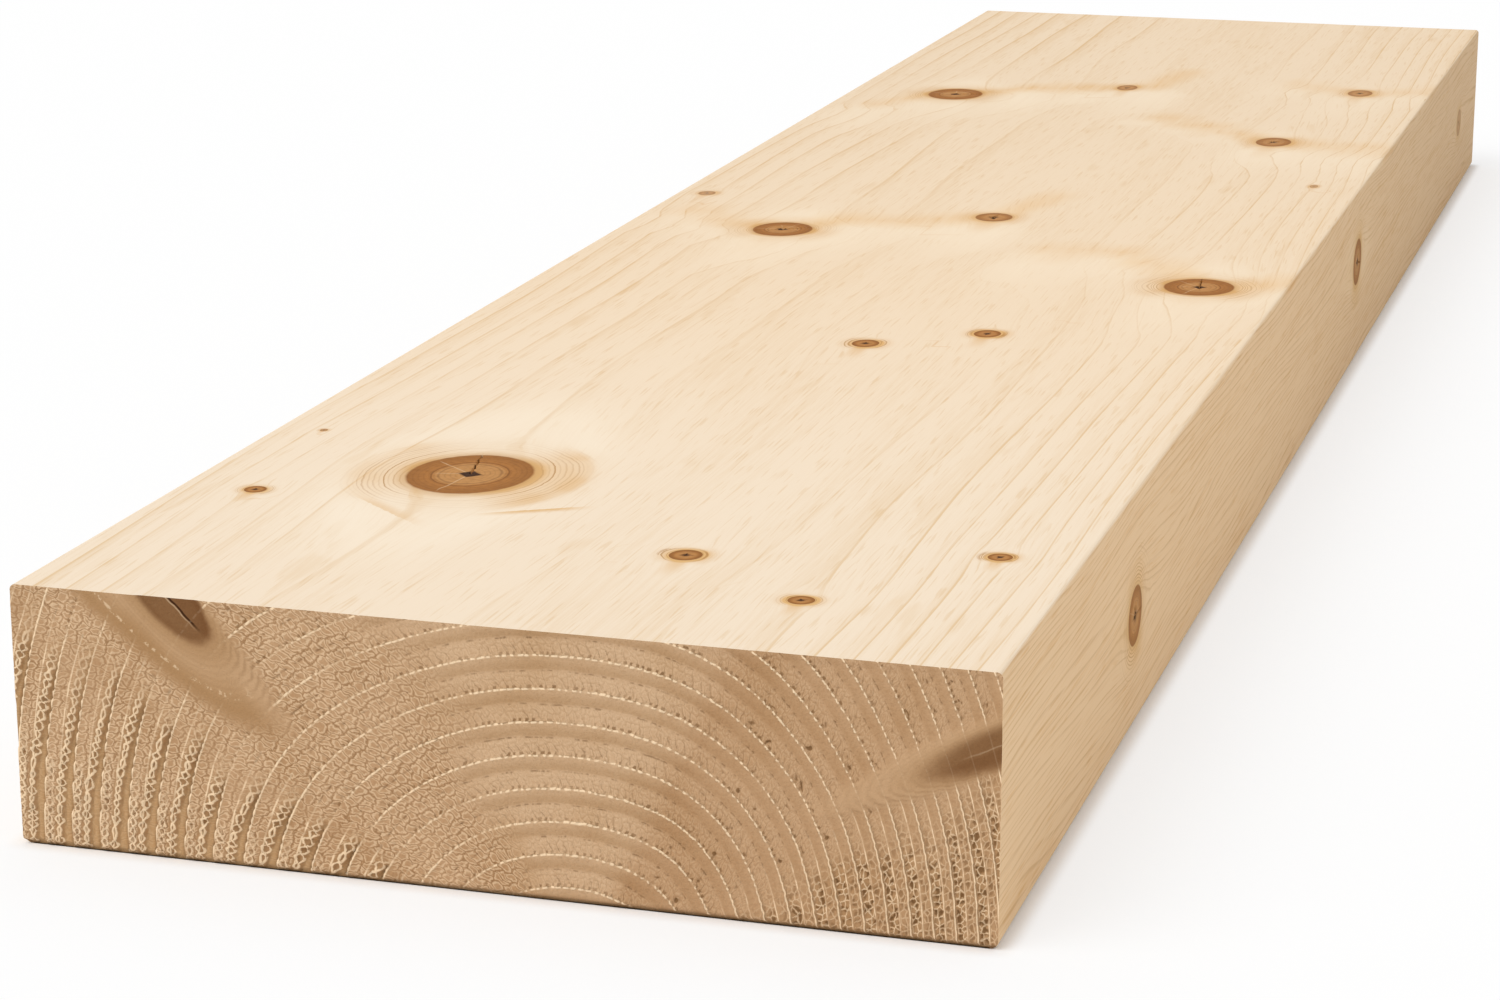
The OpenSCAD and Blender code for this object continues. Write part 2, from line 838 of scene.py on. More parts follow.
def grown_round_knots(place, growth):
    """Follows the fibres round the knots, and names what the mesh keeps of it."""
    tree = place.tree
    flat, way = unrolled(place, growth)
    so_far = {
        "Shift": 0.0,
        "Close": 0.0,
        "Offset": (FAR_AWAY, FAR_AWAY, 0.0),
        "Marks": (1.0, 0.0, 0.0),
        "Reach": FAR_AWAY,
    }
    for knot in KNOTS:
        node = tree.nodes.new("GeometryNodeGroup")
        node.node_tree = knot_group()
        per_radius = Vector((1.0 / knot.half_across, 1.0 / knot.half_along, 0.0))
        own = {
            "Flat": flat,
            "Per Radius": per_radius,
            "Own Place": -knot.unrolled * per_radius,
            "Own Marks": (knot.size, math.radians(knot.spin), knot.tone),
            "Size": knot.size,
        }
        for label, value in {**so_far, **own}.items():
            feed(node.inputs[label], value)
        so_far = {label: Field(tree, node.outputs[label]) for label in so_far}
    aside, along, _ = parts(so_far["Offset"])
    under = fall(parts(place)[2], *UNDERSIDE)
    band, flame = whorl_bands(place)
    return {
        PUSH: scaled(way, so_far["Shift"] * (1.0 - under)),
        OFFSET: joined(aside, along, so_far["Reach"] + under * FAR_AWAY),
        MARKS: so_far["Marks"],
        CLOSE: joined(so_far["Close"] * (1.0 - under), band, flame),
    }


def wood_at(place, kept):
    """What grew at a place, from what the mesh keeps.

    Between two knots the kept offset runs through nothing, so the kept reach is used there.
    """
    aside, along, kept_reach = parts(kept[OFFSET])
    offset = joined(aside, along, 0.0)
    reach = number("MAXIMUM", measure("LENGTH", offset), kept_reach - BLEND_GAP)
    return Wood(place - kept[PUSH], *parts(kept[CLOSE]), offset, reach, *parts(kept[MARKS]))


def read_wood(place):
    """What grew at a place of the surface."""
    kept = {}
    for name in (PUSH, OFFSET, MARKS, CLOSE):
        node = place.tree.nodes.new("ShaderNodeAttribute")
        node.attribute_name = name
        kept[name] = Field(place.tree, node.outputs["Vector"])
    return wood_at(place, kept)


def object_place(tree):
    """Object coordinates in millimetres."""
    node = tree.nodes.new("ShaderNodeTexCoord")
    return scaled(Field(tree, node.outputs["Object"]), MM)


def new_material(name):
    """An empty node material, with its Principled shader."""
    material = bpy.data.materials.new(name)
    material.use_nodes = True
    tree = material.node_tree
    tree.nodes.clear()
    shader = tree.nodes.new("ShaderNodeBsdfPrincipled")
    output = tree.nodes.new("ShaderNodeOutputMaterial")
    tree.links.new(shader.outputs["BSDF"], output.inputs["Surface"])
    return material, tree, shader


def bumped(shader, height, strength):
    """Lets a height in millimetres roughen the shader's surface."""
    node = height.tree.nodes.new("ShaderNodeBump")
    node.inputs["Strength"].default_value = strength
    node.inputs["Distance"].default_value = 1.0 / MM
    feed(node.inputs["Height"], height)
    height.tree.links.new(node.outputs["Normal"], shader.inputs["Normal"])


class Checks(NamedTuple):
    """Drying checks of a knot: the open ones and the lens at the heart, both painted dark as the shade
    inside them, and the closed pale ones.
    """

    open: Field
    closed: Field
    heart: Field


class Spoke(NamedTuple):
    """A check that runs out from the heart of a knot.

    Its turn is in radians from the open check, its half width in millimetres, and it fades over
    two reaches, which are in radii of the knot.
    """

    turn: float
    half_width: float
    fades: tuple


CROSS_CHECKS = (Spoke(3.3, 0.12, (0.25, 0.5)), Spoke(1.5, 0.12, (0.2, 0.45)))
CLOSED_CHECKS = (
    Spoke(2.75, 0.15, (0.75, 1.0)),
    Spoke(0.75, 0.12, (0.8, 0.95)),
    Spoke(1.5, 0.11, (0.5, 0.65)),
)
BEND_SWELLS = (0.4, 0.4, 0.4)
BEND = 0.14
# Radii of the knots, in millimetres, over which the open check grows out to the rim
WIDE_CHECK = (3.0, 9.0)
RIM_FADES = (1.02, 1.12)
SHORT_FADES = (0.35, 0.6)
HEART_HALF = (0.17, 0.24)


def spoke_line(wood, turn, half_width):
    """A line from the heart of the nearest knot outwards."""
    aside, along, _ = parts(wood.offset)
    angle = number("ARCTAN2", along, aside) - wood.spin - turn
    gap = number("ABSOLUTE", number("SINE", angle)) * wood.reach * wood.size
    ahead = smooth(number("COSINE", angle), 0.0, 0.3)
    return fall(gap, half_width * 0.5, half_width * 1.3) * ahead


def spokes(wood, checks):
    """The strongest of some checks."""
    return strongest(
        *[
            spoke_line(wood, check.turn, check.half_width) * fall(wood.reach, *check.fades)
            for check in checks
        ]
    )


def knot_checks(wood, place):
    bend = noise(place * BEND_SWELLS, 1.0) - 0.5
    bent = wood._replace(spin=wood.spin + bend * BEND)
    wide = smooth(wood.size, *WIDE_CHECK)
    taper = fall(wood.reach, 0.1, 1.2)
    main = spoke_line(bent, 0.0, (0.08 + 0.05 * wide) * (0.4 + 0.6 * taper))
    cross = spokes(bent, CROSS_CHECKS)
    short = number("MAXIMUM", cross, main * fall(wood.reach, *SHORT_FADES)) * (1.0 - wide)
    open_check = number("MAXIMUM", short, main * fall(wood.reach, *RIM_FADES) * wide)
    pale = spokes(bent, CLOSED_CHECKS)
    aside, along, _ = parts(wood.offset)
    lens = number("ABSOLUTE", aside) + number("ABSOLUTE", along) * 1.25
    heart = fall(lens + bend * 0.08, *HEART_HALF)
    return Checks(open_check, pale * wide, heart)


# Resin streaks: how ragged and how sharp they are, in millimetres, and how they fade along their way
STREAK_SWELLS = (0.8, 0.8, 0.8)
STREAK_RAGGED = 0.7
STREAK_EDGE = (0.0, 0.1, 0.2)
STREAK_FADES = (-0.3, 0.25, 0.5, 1.2)
STREAK_WOOD = (THICKNESS - 1.0, THICKNESS - 0.5)


def resin_streaks(place):
    """How strongly the resin streaks of the upper face show."""
    ragged = (noise(place * STREAK_SWELLS, 2.0, 0.6) - 0.5) * STREAK_RAGGED
    total = 0.0
    for streak in STREAKS:
        start = Vector((*streak.start, 0.0))
        way = Vector((*streak.end, 0.0)) - start
        ahead = way.normalized()
        outward = Vector((-ahead.y, ahead.x, 0.0))
        share = (measure("DOT_PRODUCT", place, ahead) - start.dot(ahead)) / way.length
        gap = measure("DOT_PRODUCT", place, outward) - start.dot(outward) + ragged
        mark = hump(gap, *STREAK_EDGE, streak.width) * streak.strength
        total = mark * hump(share, *STREAK_FADES) + total
    return total * smooth(parts(place)[2], *STREAK_WOOD)


# Swells of noise to a millimetre round the knots
RIM_SWELLS = (0.6, 0.6, 0.6)
DRIFT_SWELLS = (0.11, 0.11, 0.11)
BODY_SWELLS = (0.9, 0.9, 0.9)
# Radii of the knots, in millimetres, over which they show more, and those that a tan eye surrounds
LARGE_KNOT = (2.0, 8.0)
EYED_KNOT = (7.5, 9.5)
# Reaches from the heart of a knot, in its radii
KNOT_RIM = (0.965, 1.03)
BROWN_RIM = (1.0, 1.24)
DARK_RIM = (0.55, 0.95, 0.98, 1.06)
DARK_HEART = (0.14, 0.36)
INNER_LINE = (0.58, 0.605, 0.61, 0.635)
HEART_LINE = (0.465, 0.49, 0.5, 0.525)
LOOP_REACH = (1.0, 1.05, 1.35)
LOOP_END = 2.1
EDGE_LOOPS = 0.6
STAIN_END = 1.28
SMALL_STAIN = 0.35
WIDE_STAIN = (0.8, 2.4)
EYE_REACH = (1.35, 1.78, 1.86, 2.02)
TAIL_HALF = (0.15, 0.9)
TAIL_LENGTH = (-4.5, -1.6, -1.2, -0.6)
TAIL_FADES = (4.5, 6.0)
# Where the loops weaken along the plank, in millimetres
LOOPS_WEAKEN = (-150.0, 0.0)
# A ring line as a share of its year
RING_LINE = (0.5, 0.85, 0.9, 1.0)
LOOP_LINE = (0.5, 0.86, 0.92, 1.0)
KNOT_YEARS_PER_MM = 1.15


class KnotPlace(NamedTuple):
    """Where a place lies from the nearest knot, in its radii, and how large and uneven it is there."""

    reach: Field
    aside: Field
    along: Field
    beside: Field
    large: Field
    ragged: Field
    drift: Field
    uneven: Field


def knot_place(wood, place):
    """Finds a place round the nearest knot."""
    ragged = noise(place * RIM_SWELLS, 2.0) - 0.5
    drift = noise(place * DRIFT_SWELLS, 0.0) - 0.5
    reach = wood.reach + ragged * 0.03
    large = smooth(wood.size, *LARGE_KNOT)
    aside, along, _ = parts(wood.offset)
    beside = smooth(number("ABSOLUTE", aside) - number("ABSOLUTE", along) * 0.7, -0.6, 0.8)
    uneven = smooth(drift + aside * 0.05, -0.12, 0.15)
    return KnotPlace(reach, aside, along, beside, large, ragged, drift, uneven)


def knot_loops(at, wood, place, edge):
    """The fine ring lines that run round a knot."""
    pace = noise(joined(wood.reach * 3.0, wood.spin * 5.0, wood.size), 1.0) - 0.5
    count = wood.reach * (3.0 + 9.0 * at.large) + at.drift * 1.7 + at.ragged * 0.45 + pace * 2.5
    turn = number("FLOOR", count)
    luck = smooth(noise(joined(turn * 1.71, wood.spin, wood.size), 0.0), 0.3, 0.62)
    loop = hump(count - turn, *LOOP_LINE) * hump(at.reach, *LOOP_REACH, LOOP_END + edge * EDGE_LOOPS)
    loop = loop * (1.0 - 0.55 * smooth(parts(place)[1], *LOOPS_WEAKEN))
    return loop * (0.25 + 0.75 * luck) * (0.25 + 0.75 * number("MAXIMUM", at.beside, edge))


def knot_stain(at, wood):
    """How far resin stained the wood round a knot: its collar, its eye and its tail."""
    stain = fall(at.reach, 1.0, STAIN_END + SMALL_STAIN * (1.0 - at.large))
    stain = stain * (0.35 + 0.45 * at.uneven) * (1.0 - 0.4 * at.large)
    stain = stain + fall(at.reach, *WIDE_STAIN) * (0.22 + 0.55 * at.beside * (0.6 + 0.4 * at.uneven))
    eye = hump(at.reach, *EYE_REACH) * at.beside * smooth(wood.size, *EYED_KNOT)
    stain = stain + eye * (0.12 + 0.28 * smooth(at.aside, -2.0, 2.0)) * (0.7 + 0.4 * at.uneven)
    tail = fall(number("ABSOLUTE", at.aside), *TAIL_HALF) * hump(at.along, *TAIL_LENGTH)
    stain = stain + tail * fall(at.reach, *TAIL_FADES) * 0.5 * (1.0 - at.large * 0.9)
    return number("MINIMUM", stain, 1.0)


def knot_body(at, wood, place, colours):
    """The colour of the knot itself, with its rings and its checks."""
    grain = noise(place * BODY_SWELLS, 2.0, 0.6) - 0.5
    knot_year = number("FRACT", at.reach * wood.size * KNOT_YEARS_PER_MM)
    ring_line = hump(knot_year, *RING_LINE) * at.large
    inside = fall(at.reach, 0.50, 0.80 - 0.18 * at.large) * (0.5 + 0.5 * at.large)
    body = tinted(colours.knot_wood, colours.knot_core, inside)
    body = tinted(body, colours.knot_dark, ring_line * 0.16 + grain * 0.7 + 0.06)
    inner = hump(at.reach, *INNER_LINE) + hump(at.reach, *HEART_LINE) * 0.6
    body = tinted(body, colours.knot_dark, inner * 0.6 * at.large)
    rim = hump(at.reach, *DARK_RIM) * (0.45 - 0.15 * at.large)
    rim = rim + fall(at.reach, *DARK_HEART) * (1.0 - at.large) * 0.85
    body = tinted(body, colours.knot_dark, rim)
    checks = knot_checks(wood, place)
    body = tinted(body, colours.latewood, checks.closed * 0.45)
    # Painted shade inside the heart hole and the open checks
    body = tinted(body, colours.check_shade, checks.heart)
    return tinted(body, colours.check_shade, checks.open)


def knot_colour(colour, wood, place, edge, colours):
    """Lays the knots over the colour of the wood round them."""
    at = knot_place(wood, place)
    loop = knot_loops(at, wood, place, edge)
    colour = tinted(colour, colours.resin_tan, knot_stain(at, wood) * wood.tone)
    brown = number("MAXIMUM", loop * 0.85, fall(at.reach, *BROWN_RIM) * 0.3 * at.large)
    colour = tinted(colour, colours.loop_brown, brown * wood.tone)
    return tinted(colour, knot_body(at, wood, place, colours), fall(at.reach, *KNOT_RIM) * wood.tone)


# Swells of noise to a millimetre of the planed faces, across, along and up
FIBRE_SWELLS = (2.4, 0.05, 2.4)
SHADE_SWELLS = (0.5, 0.008, 0.5)
CLOUD_SWELLS = (0.05, 0.008, 0.05)
DASH_SWELLS = (2.6, 0.11, 2.6)
FLECK_SWELLS = (0.16, 0.03, 0.16)
FOLD_SWELLS = (0.02, 0.010, 0.10)
PLANED_SWELLS = (3.0, 0.06, 3.0)
# Where the ring lines show on the upper face, by the place across the pith in millimetres
RIGHT_LINES = (8.0, 34.0)
LEFT_LINES = (-52.0, -16.0)
# A crisp line in millimetres before the end of its year, and its veil as a share of the year
CRISP = (0.0, 0.06, 0.16, 0.75)
VEIL = (0.3, 0.95, 0.96, 1.0)
LEAST_SLOPE = 0.15
# Stretches along the plank over which its wood ripens and darkens, in millimetres
RIPENING = (-270.0, -60.0)
DARKENING = (-230.0, 260.0)
# Fine lines along the narrow edges, to a millimetre of height, and each as a share of its spacing
HAIRS_PER_MM = 0.9
HAIR_LINE = (0.55, 0.88, 0.92, 1.0)
NARROW_EDGE = (0.5, 0.9)
BLACK = (0.0, 0.0, 0.0)
PLANED_ROUGHNESS = 0.66
BARE_WOOD_GLOSS = 0.04


class Grain(NamedTuple):
    """Fine fibres, long streaks and wide clouds of the planed wood."""

    fibre: Field
    streak: Field
    cloud: Field


def ring_lines(place, wood, grain, edge, growth):
    """How far the ring lines show on the planed faces."""
    near = smooth(wood.close, 0.15, 1.2)
    across, _, up = parts(place)
    across = across - growth.pith_across * MM
    rings = stem_rings(wood.grain, growth) + (grain.cloud - 0.5) * 0.9
    year = number("FRACT", rings + grain.fibre * 0.03 + wood.flame * 1.1)
    angle = number("ARCTAN2", across, up - growth.pith_height * MM)
    slope = number("ABSOLUTE", number("SINE", angle))
    gap = (1.0 - year) * (growth.ring_width * MM) / number("MAXIMUM", slope, LEAST_SLOPE)
    crisp = hump(gap, *CRISP)
    veil = hump(year, *VEIL)
    right = smooth(across, *RIGHT_LINES)
    strength = 0.34 + 0.60 * right + 0.66 * fall(across, *LEFT_LINES)
    strength = strength * (1.0 - edge * 0.75) * (1.0 - near * 0.6)
    line = crisp * (0.85 + 0.15 * right) + veil * (0.42 - 0.16 * right)
    return line * (0.4 + 1.1 * grain.streak) * strength


def edge_hairs(wood, grain):
    """The fine lines that run along the narrow edges."""
    fold = noise(wood.grain * FOLD_SWELLS, 1.0)
    hair = number("FRACT", parts(wood.grain)[2] * HAIRS_PER_MM + fold * 9.0)
    return hump(hair, *HAIR_LINE) * smooth(grain.fibre + grain.streak, 0.25, 0.6)


def planed_wood(growth, colours):
    """The planed faces: ring lines, fibres and knots."""
    material, tree, shader = new_material("planed_softwood")
    place = object_place(tree)
    wood = read_wood(place)
    geometry = tree.nodes.new("ShaderNodeNewGeometry")
    facing = parts(Field(tree, geometry.outputs["Normal"]))
    edge = smooth(number("ABSOLUTE", facing[0]), *NARROW_EDGE)
    fibre = noise(wood.grain * FIBRE_SWELLS, 2.0, 0.65) - 0.5
    streak = noise(wood.grain * SHADE_SWELLS, 1.0)
    cloud = noise(wood.grain * CLOUD_SWELLS, 1.0)
    grain = Grain(fibre, streak, cloud)
    line = ring_lines(place, wood, grain, edge, growth)
    dash = smooth(noise(wood.grain * DASH_SWELLS, 0.0), 0.64, 0.74)
    fleck = smooth(noise(wood.grain * FLECK_SWELLS, 2.0, 0.6), 0.62, 0.72)
    share = line + fibre * (0.9 + 1.0 * edge) + (streak - 0.5) * 0.3 + dash * 0.4
    share = share + fleck * 0.3 + (cloud - 0.5) * 0.5
    colour = tinted(colours.earlywood, colours.latewood, number("MAXIMUM", share, 0.0))
    between_lines = fall(line, 0.1, 0.7)
    pale = smooth(wood.close * (0.35 + cloud), 1.0, 3.4) * between_lines
    flame = wood.flame * between_lines * (0.3 + streak)
    colour = tinted(colour, colours.sap_light, number("MAXIMUM", pale * 0.65, flame))
    colour = stained(colour, colours.whorl_tint, wood.band * (0.35 + 1.1 * streak))
    # Painted shade: darker, deeper colour on the narrow edges for their dimmer light
    colour = stained(colour, colours.edge_shade_tint, edge)
    colour = tinted(colour, colours.loop_brown, edge * edge_hairs(wood, grain) * 0.3)
    colour = tinted(colour, colours.resin_tan, resin_streaks(place))
    colour = knot_colour(colour, wood, place, edge, colours)
    along = parts(place)[1]
    colour = stained(colour, colours.ripe_tint, smooth(along, *RIPENING) * (1.0 - edge))
    colour = stained(colour, BLACK, smooth(along, *DARKENING) * (0.06 + 0.14 * edge))
    feed(shader.inputs["Base Color"], colour)
    shader.inputs["Roughness"].default_value = PLANED_ROUGHNESS
    shader.inputs["Specular IOR Level"].default_value = BARE_WOOD_GLOSS
    bumped(shader, noise(place * PLANED_SWELLS, 1.0, 0.6) * 0.05, 0.5)
    return material


class Scar(NamedTuple):
    """A knot on an end: where a place lies in it, and how far it belongs to the core and the halo."""

    knot: EndKnot
    inward: Field
    aside: Field
    core_gap: Field
    halo_gap: Field
    core: Field
    halo: Field


# In millimetres: how far a cracked knot's halo leans aside where it starts, and where one side fades
HALO_LEAN = 2.2
HALO_SIDE = (0.0, 4.0)
# Where a halo ends, as a share of its size
HALO_RIM = (0.74, 1.16)


def end_scar(place, knot, ragged, patch):
    """Where a place on an end lies in one of the knots that the saw cut along."""
    across, along, up = parts(place)
    heading = math.radians(knot.heading)
    ahead_x, ahead_z = math.cos(heading), math.sin(heading)
    out_x, out_z = across - knot.across, up - knot.up
    inward = out_x * ahead_x + out_z * ahead_z
    aside = out_z * ahead_x - out_x * ahead_z + ragged * 0.3
    here = number("GREATER_THAN", along * knot.end, 0.0)
    core_gap = flat_length(inward / knot.core_long, aside / knot.core_half)
    lean = aside + (1.0 - inward / knot.halo_long) * HALO_LEAN * knot.cracked
    halo_gap = flat_length(inward / knot.halo_long, lean / knot.halo_half)
    core = fall(core_gap + ragged * 0.15, 1.0 - knot.softness, 1.0 + knot.softness) * here
    fading = 0.3 * smooth(aside, *HALO_SIDE) + patch * 0.25 + ragged * 0.08
    halo = fall(halo_gap + fading, *HALO_RIM) * here
    return Scar(knot, inward, aside, core_gap, halo_gap, core, halo)


# Swells of noise to a millimetre of a sawn end
PATCH_SWELLS = (0.09, 0.09, 0.09)
RAGGED_SWELLS = (0.7, 0.7, 0.7)
CRUMB_SWELLS = (2.6, 2.6, 2.6)
# Turns from straight above the pith, in radians, over which the saw changed its way with the wood
TORN = (0.98, 1.12)
RULED = (0.92, 1.1)
HATCHED = (0.3, 0.6)
UPRIGHT = (0.35, 0.6)
DIMMED = (0.3, 0.6)
WIDE_GROOVE = (1.04, 1.3)
LOW_CHAIN = (1.14, 1.26)
FULL_LACE = (1.05, 1.2)
RIGHT_LEAN = 0.09
# Marks across a ring, as shares of its year
LIP = (0.925, 0.955, 0.985, 1.0)
MID_YEAR = 0.49
THREAD_CORE = 0.014
THREAD_SIDE = 0.035
GROOVE = 0.08
GROOVE_WIDENS = 0.25
GROOVE_SIDE = 0.02
CHAIN = 0.13
SECOND_CHAIN = 0.80
SECOND_SWAY = 0.10
EYE_SIDE = (0.02, 0.06)
WIRE_HALF = (0.018, 0.05)
SECOND_WIRE_HALF = (0.016, 0.045)
EARLY_LACE = (0.02, 0.08, 0.40, 0.50)
LATE_LACE = (0.52, 0.6, 0.84, 0.94)
NOTCH_START = 0.045
NOTCH = (0.0, 0.03, 0.095, 0.15)
LEAF = (0.02, 0.06, 0.16, 0.44)
BLOT = (0.03, 0.08, 0.2, 0.36)
LIP_SHADE = (0.0, 0.13)
# Sizes in millimetres: loops of the chains, cells of the lace and net, leaves, the rim that the
# saw left whole, and the rounded foot
LOOP = 1.35
SECOND_LOOP = LOOP / 1.13
LACE_CELL = 1.25
NET_CELL = 1.05
LEAF_STEP = 1.3
CLEAR_EDGE = (0.1, 1.2)
FOOT_ROUND = 0.9


class EndPlace(NamedTuple):
    """Where a place on an end lies among the rings, the knots and the torn wood."""

    scars: list
    halo: Field
    core: Field
    clear: Field
    patch: Field
    ragged: Field
    crumb: Field
    angle: Field
    ring: Field
    year: Field
    around: Field
    luck: Field
    shown: Field
    left: Field
    lean: Field
    torn: Field
    hatched: Field


def end_place(place, growth):
    """Finds a place on an end among the rings, the knots and the torn wood."""
    across, _, up = parts(place)
    angle = number("ARCTAN2", across - growth.pith_across * MM, up - growth.pith_height * MM)
    patch = noise(place * PATCH_SWELLS, 1.0) - 0.5
    ragged = noise(place * RAGGED_SWELLS, 1.0, 0.6) - 0.5
    crumb = noise(place * CRUMB_SWELLS, 2.0, 0.65) - 0.5
    scars = [end_scar(place, knot, ragged, patch) for knot in END_KNOTS]
    halo = strongest(*[scar.halo for scar in scars])
    core = strongest(*[scar.core for scar in scars])
    clear = 1.0 - halo
    rings = stem_rings(place, growth) + ragged * 0.05
    ring = number("FLOOR", rings)
    year = rings - ring
    around = angle * (ring + 0.5) * (growth.ring_width * MM) + ragged * 0.6
    luck = noise(joined(ring * 3.7, around * 0.10, ring * 1.9), 1.0)
    shown = smooth(luck, 0.32, 0.58)
    left = number("LESS_THAN", angle, 0.0)
    lean = number("ABSOLUTE", angle) + patch * 0.22 + (1.0 - left) * RIGHT_LEAN
    torn = smooth(lean, *TORN) * clear
    hatched = smooth(patch * 0.4 - angle, *HATCHED) * (1.0 - torn)
    return EndPlace(
        scars, halo, core, clear, patch, ragged, crumb, angle,
        ring, year, around, luck, shown, left, lean, torn, hatched,
    )


class Lips(NamedTuple):
    """The torn lip of each ring, the teeth along it, and where it runs unbroken."""

    line: Field
    tooth: Field
    ruled: Field


def ring_lips(at, cell):
    """Raises the pale fibres that the saw left along each ring line."""
    tooth = number("SINE", at.around * (2.0 * math.pi / cell) + at.ragged * 3.0 + at.luck * 12.0)
    patchy = noise(joined(at.around * 0.7, at.ring * 5.3, 2.0), 0.0) - 0.5
    bead = smooth(tooth + patchy * 3.0 + (at.shown - 0.5) * 0.6, -0.7, 0.5)
    lip = hump(at.year + at.crumb * 0.02, *LIP)
    ruled = smooth(at.lean, *RULED)
    line = lip * blended(bead * 0.8 + 0.15, 0.95, ruled)
    line = line * (1.0 - at.hatched * 0.8 * (1.0 - at.shown)) * (0.07 + 0.93 * at.clear)
    return Lips(line, tooth, ruled)


class Threads(NamedTuple):
    """The thin thread in the middle of each ring, where it lies, and where it broke and frayed."""

    half: Field
    thread: Field
    broken: Field
    frayed: Field


def mid_threads(at):
    """Draws the thread in the middle of each ring."""
    half = MID_YEAR + (at.luck - 0.5) * 0.12
    below = (half - THREAD_SIDE, half - THREAD_CORE)
    above = (half + THREAD_CORE, half + THREAD_SIDE)
    thread = hump(at.year, *below, *above)
    broken = smooth(noise(joined(at.ring * 5.1, at.around * 0.45, 3.0), 1.0), 0.42, 0.55)
    frayed = smooth(noise(joined(at.ring * 2.3, at.around * 1.5, 6.0), 1.0), 0.40, 0.58)
    return Threads(half, thread, broken, frayed)


class Chains(NamedTuple):
    """The grooves and looped chains of the torn wood on the left, and the ground under the loops."""

    torn: Field
    groove: Field
    ground: Field
    wire: Field
    eyes: Field


def chain(middle, sway):
    """Two wires that sway across each other: how far the nearest is, and how far an eye is open."""
    strand = number("MINIMUM", number("ABSOLUTE", middle - sway), number("ABSOLUTE", middle + sway))
    eye = smooth(number("ABSOLUTE", sway) - number("ABSOLUTE", middle), *EYE_SIDE)
    return strand, eye


def torn_chains(at, broken):
    """Tears the rings on the left into a smooth groove and one or two chains of loops each."""
    groove_end = GROOVE + GROOVE_WIDENS * smooth(at.lean, *WIDE_GROOVE) + (at.luck - 0.5) * 0.16
    torn = at.torn * at.left
    groove = fall(at.year, groove_end - GROOVE_SIDE, groove_end + GROOVE_SIDE) * torn
    sway = number("SINE", at.around * (math.pi / LOOP) + at.crumb * 1.2 + at.luck * 14.0)
    middle = at.year - groove_end - CHAIN + at.ragged * 0.05
    strand, eye = chain(middle, sway * (0.07 + 0.06 * broken))
    low = smooth(at.lean, *LOW_CHAIN) * torn
    upper = at.year - SECOND_CHAIN + at.ragged * 0.12
    sway = number("SINE", at.around * (math.pi / SECOND_LOOP) + at.crumb * 1.6 + at.luck * 5.0)
    second, second_eye = chain(upper, sway * SECOND_SWAY)
    second_wire = fall(second, *SECOND_WIRE_HALF) * low * (0.4 + 0.6 * at.shown)
    wire = number("MAXIMUM", fall(strand, *WIRE_HALF) * torn, second_wire)
    eyes = number("MAXIMUM", eye * torn, second_eye * low)
    eyes = eyes * (0.35 + 0.65 * smooth(at.ragged, -0.1, 0.12))
    ground = fall(number("ABSOLUTE", middle), 0.12, 0.2) * torn
    return Chains(torn, groove, ground, wire, eyes)


class Lace(NamedTuple):
    """The torn lace on the right: where it lies, its walls and its holes."""

    ground: Field
    wall: Field
    hole: Field


def torn_lace(at, width):
    """Tears the rings on the right into lace."""
    torn = at.torn * (1.0 - at.left)
    cells = joined(at.year * (width / LACE_CELL) + at.ring * 13.0, at.around / LACE_CELL, 0.0)
    gap = cell_walls(cells + joined(at.ragged * 0.6, at.crumb * 0.5, 0.0), 0.85)
    soft = hump(at.year, *EARLY_LACE) + hump(at.year, *LATE_LACE) * 0.55
    ground = soft * torn * (0.3 + 0.7 * smooth(at.lean, *FULL_LACE))
    wall = fall(gap, 0.04, 0.12) * ground
    hole = smooth(noise(cells * (0.9, 0.9, 1.0), 0.0), 0.46, 0.58) * smooth(gap, 0.10, 0.2)
    return Lace(ground, wall, hole * ground)


def lip_notches(at, lips):
    """Notches between the teeth of a lip, which the colour paints dark as the shadow in them."""
    spot = smooth(noise(joined(at.around * 0.5, at.ring * 5.3, 9.0), 1.0), 0.36, 0.56) * 0.8 + 0.2
    spot = spot * smooth(lips.tooth * -1.0 + at.crumb * 2.0, -0.3, 0.5)
    lap = number("FRACT", at.year + NOTCH_START)
    return hump(lap, *NOTCH) * spot * (1.0 - lips.ruled) * (0.4 + 0.6 * at.shown)


def leaf_slits(at):
    """Slanted slits between the leaves of soft wood above a lip."""
    slanted = number("FRACT", at.around / LEAF_STEP + at.year * 1.7 + at.crumb * 0.25 + at.luck * 3.0)
    leaf = hump(slanted, 0.0, 0.07, 0.10, 0.22) * hump(at.year, *LEAF)
    return leaf * smooth(noise(joined(at.ring * 4.3, at.around * 0.22, 11.0), 1.0), 0.38, 0.56)


def dark_blots(at, upright):
    """Small holes in the soft wood right of the pith."""
    swells = joined(at.year * 4.0 + at.ring * 5.0, at.around * 0.6, at.ring)
    blot = smooth(noise(swells, 1.0), 0.62, 0.70)
    return blot * hump(at.year, *BLOT) * upright


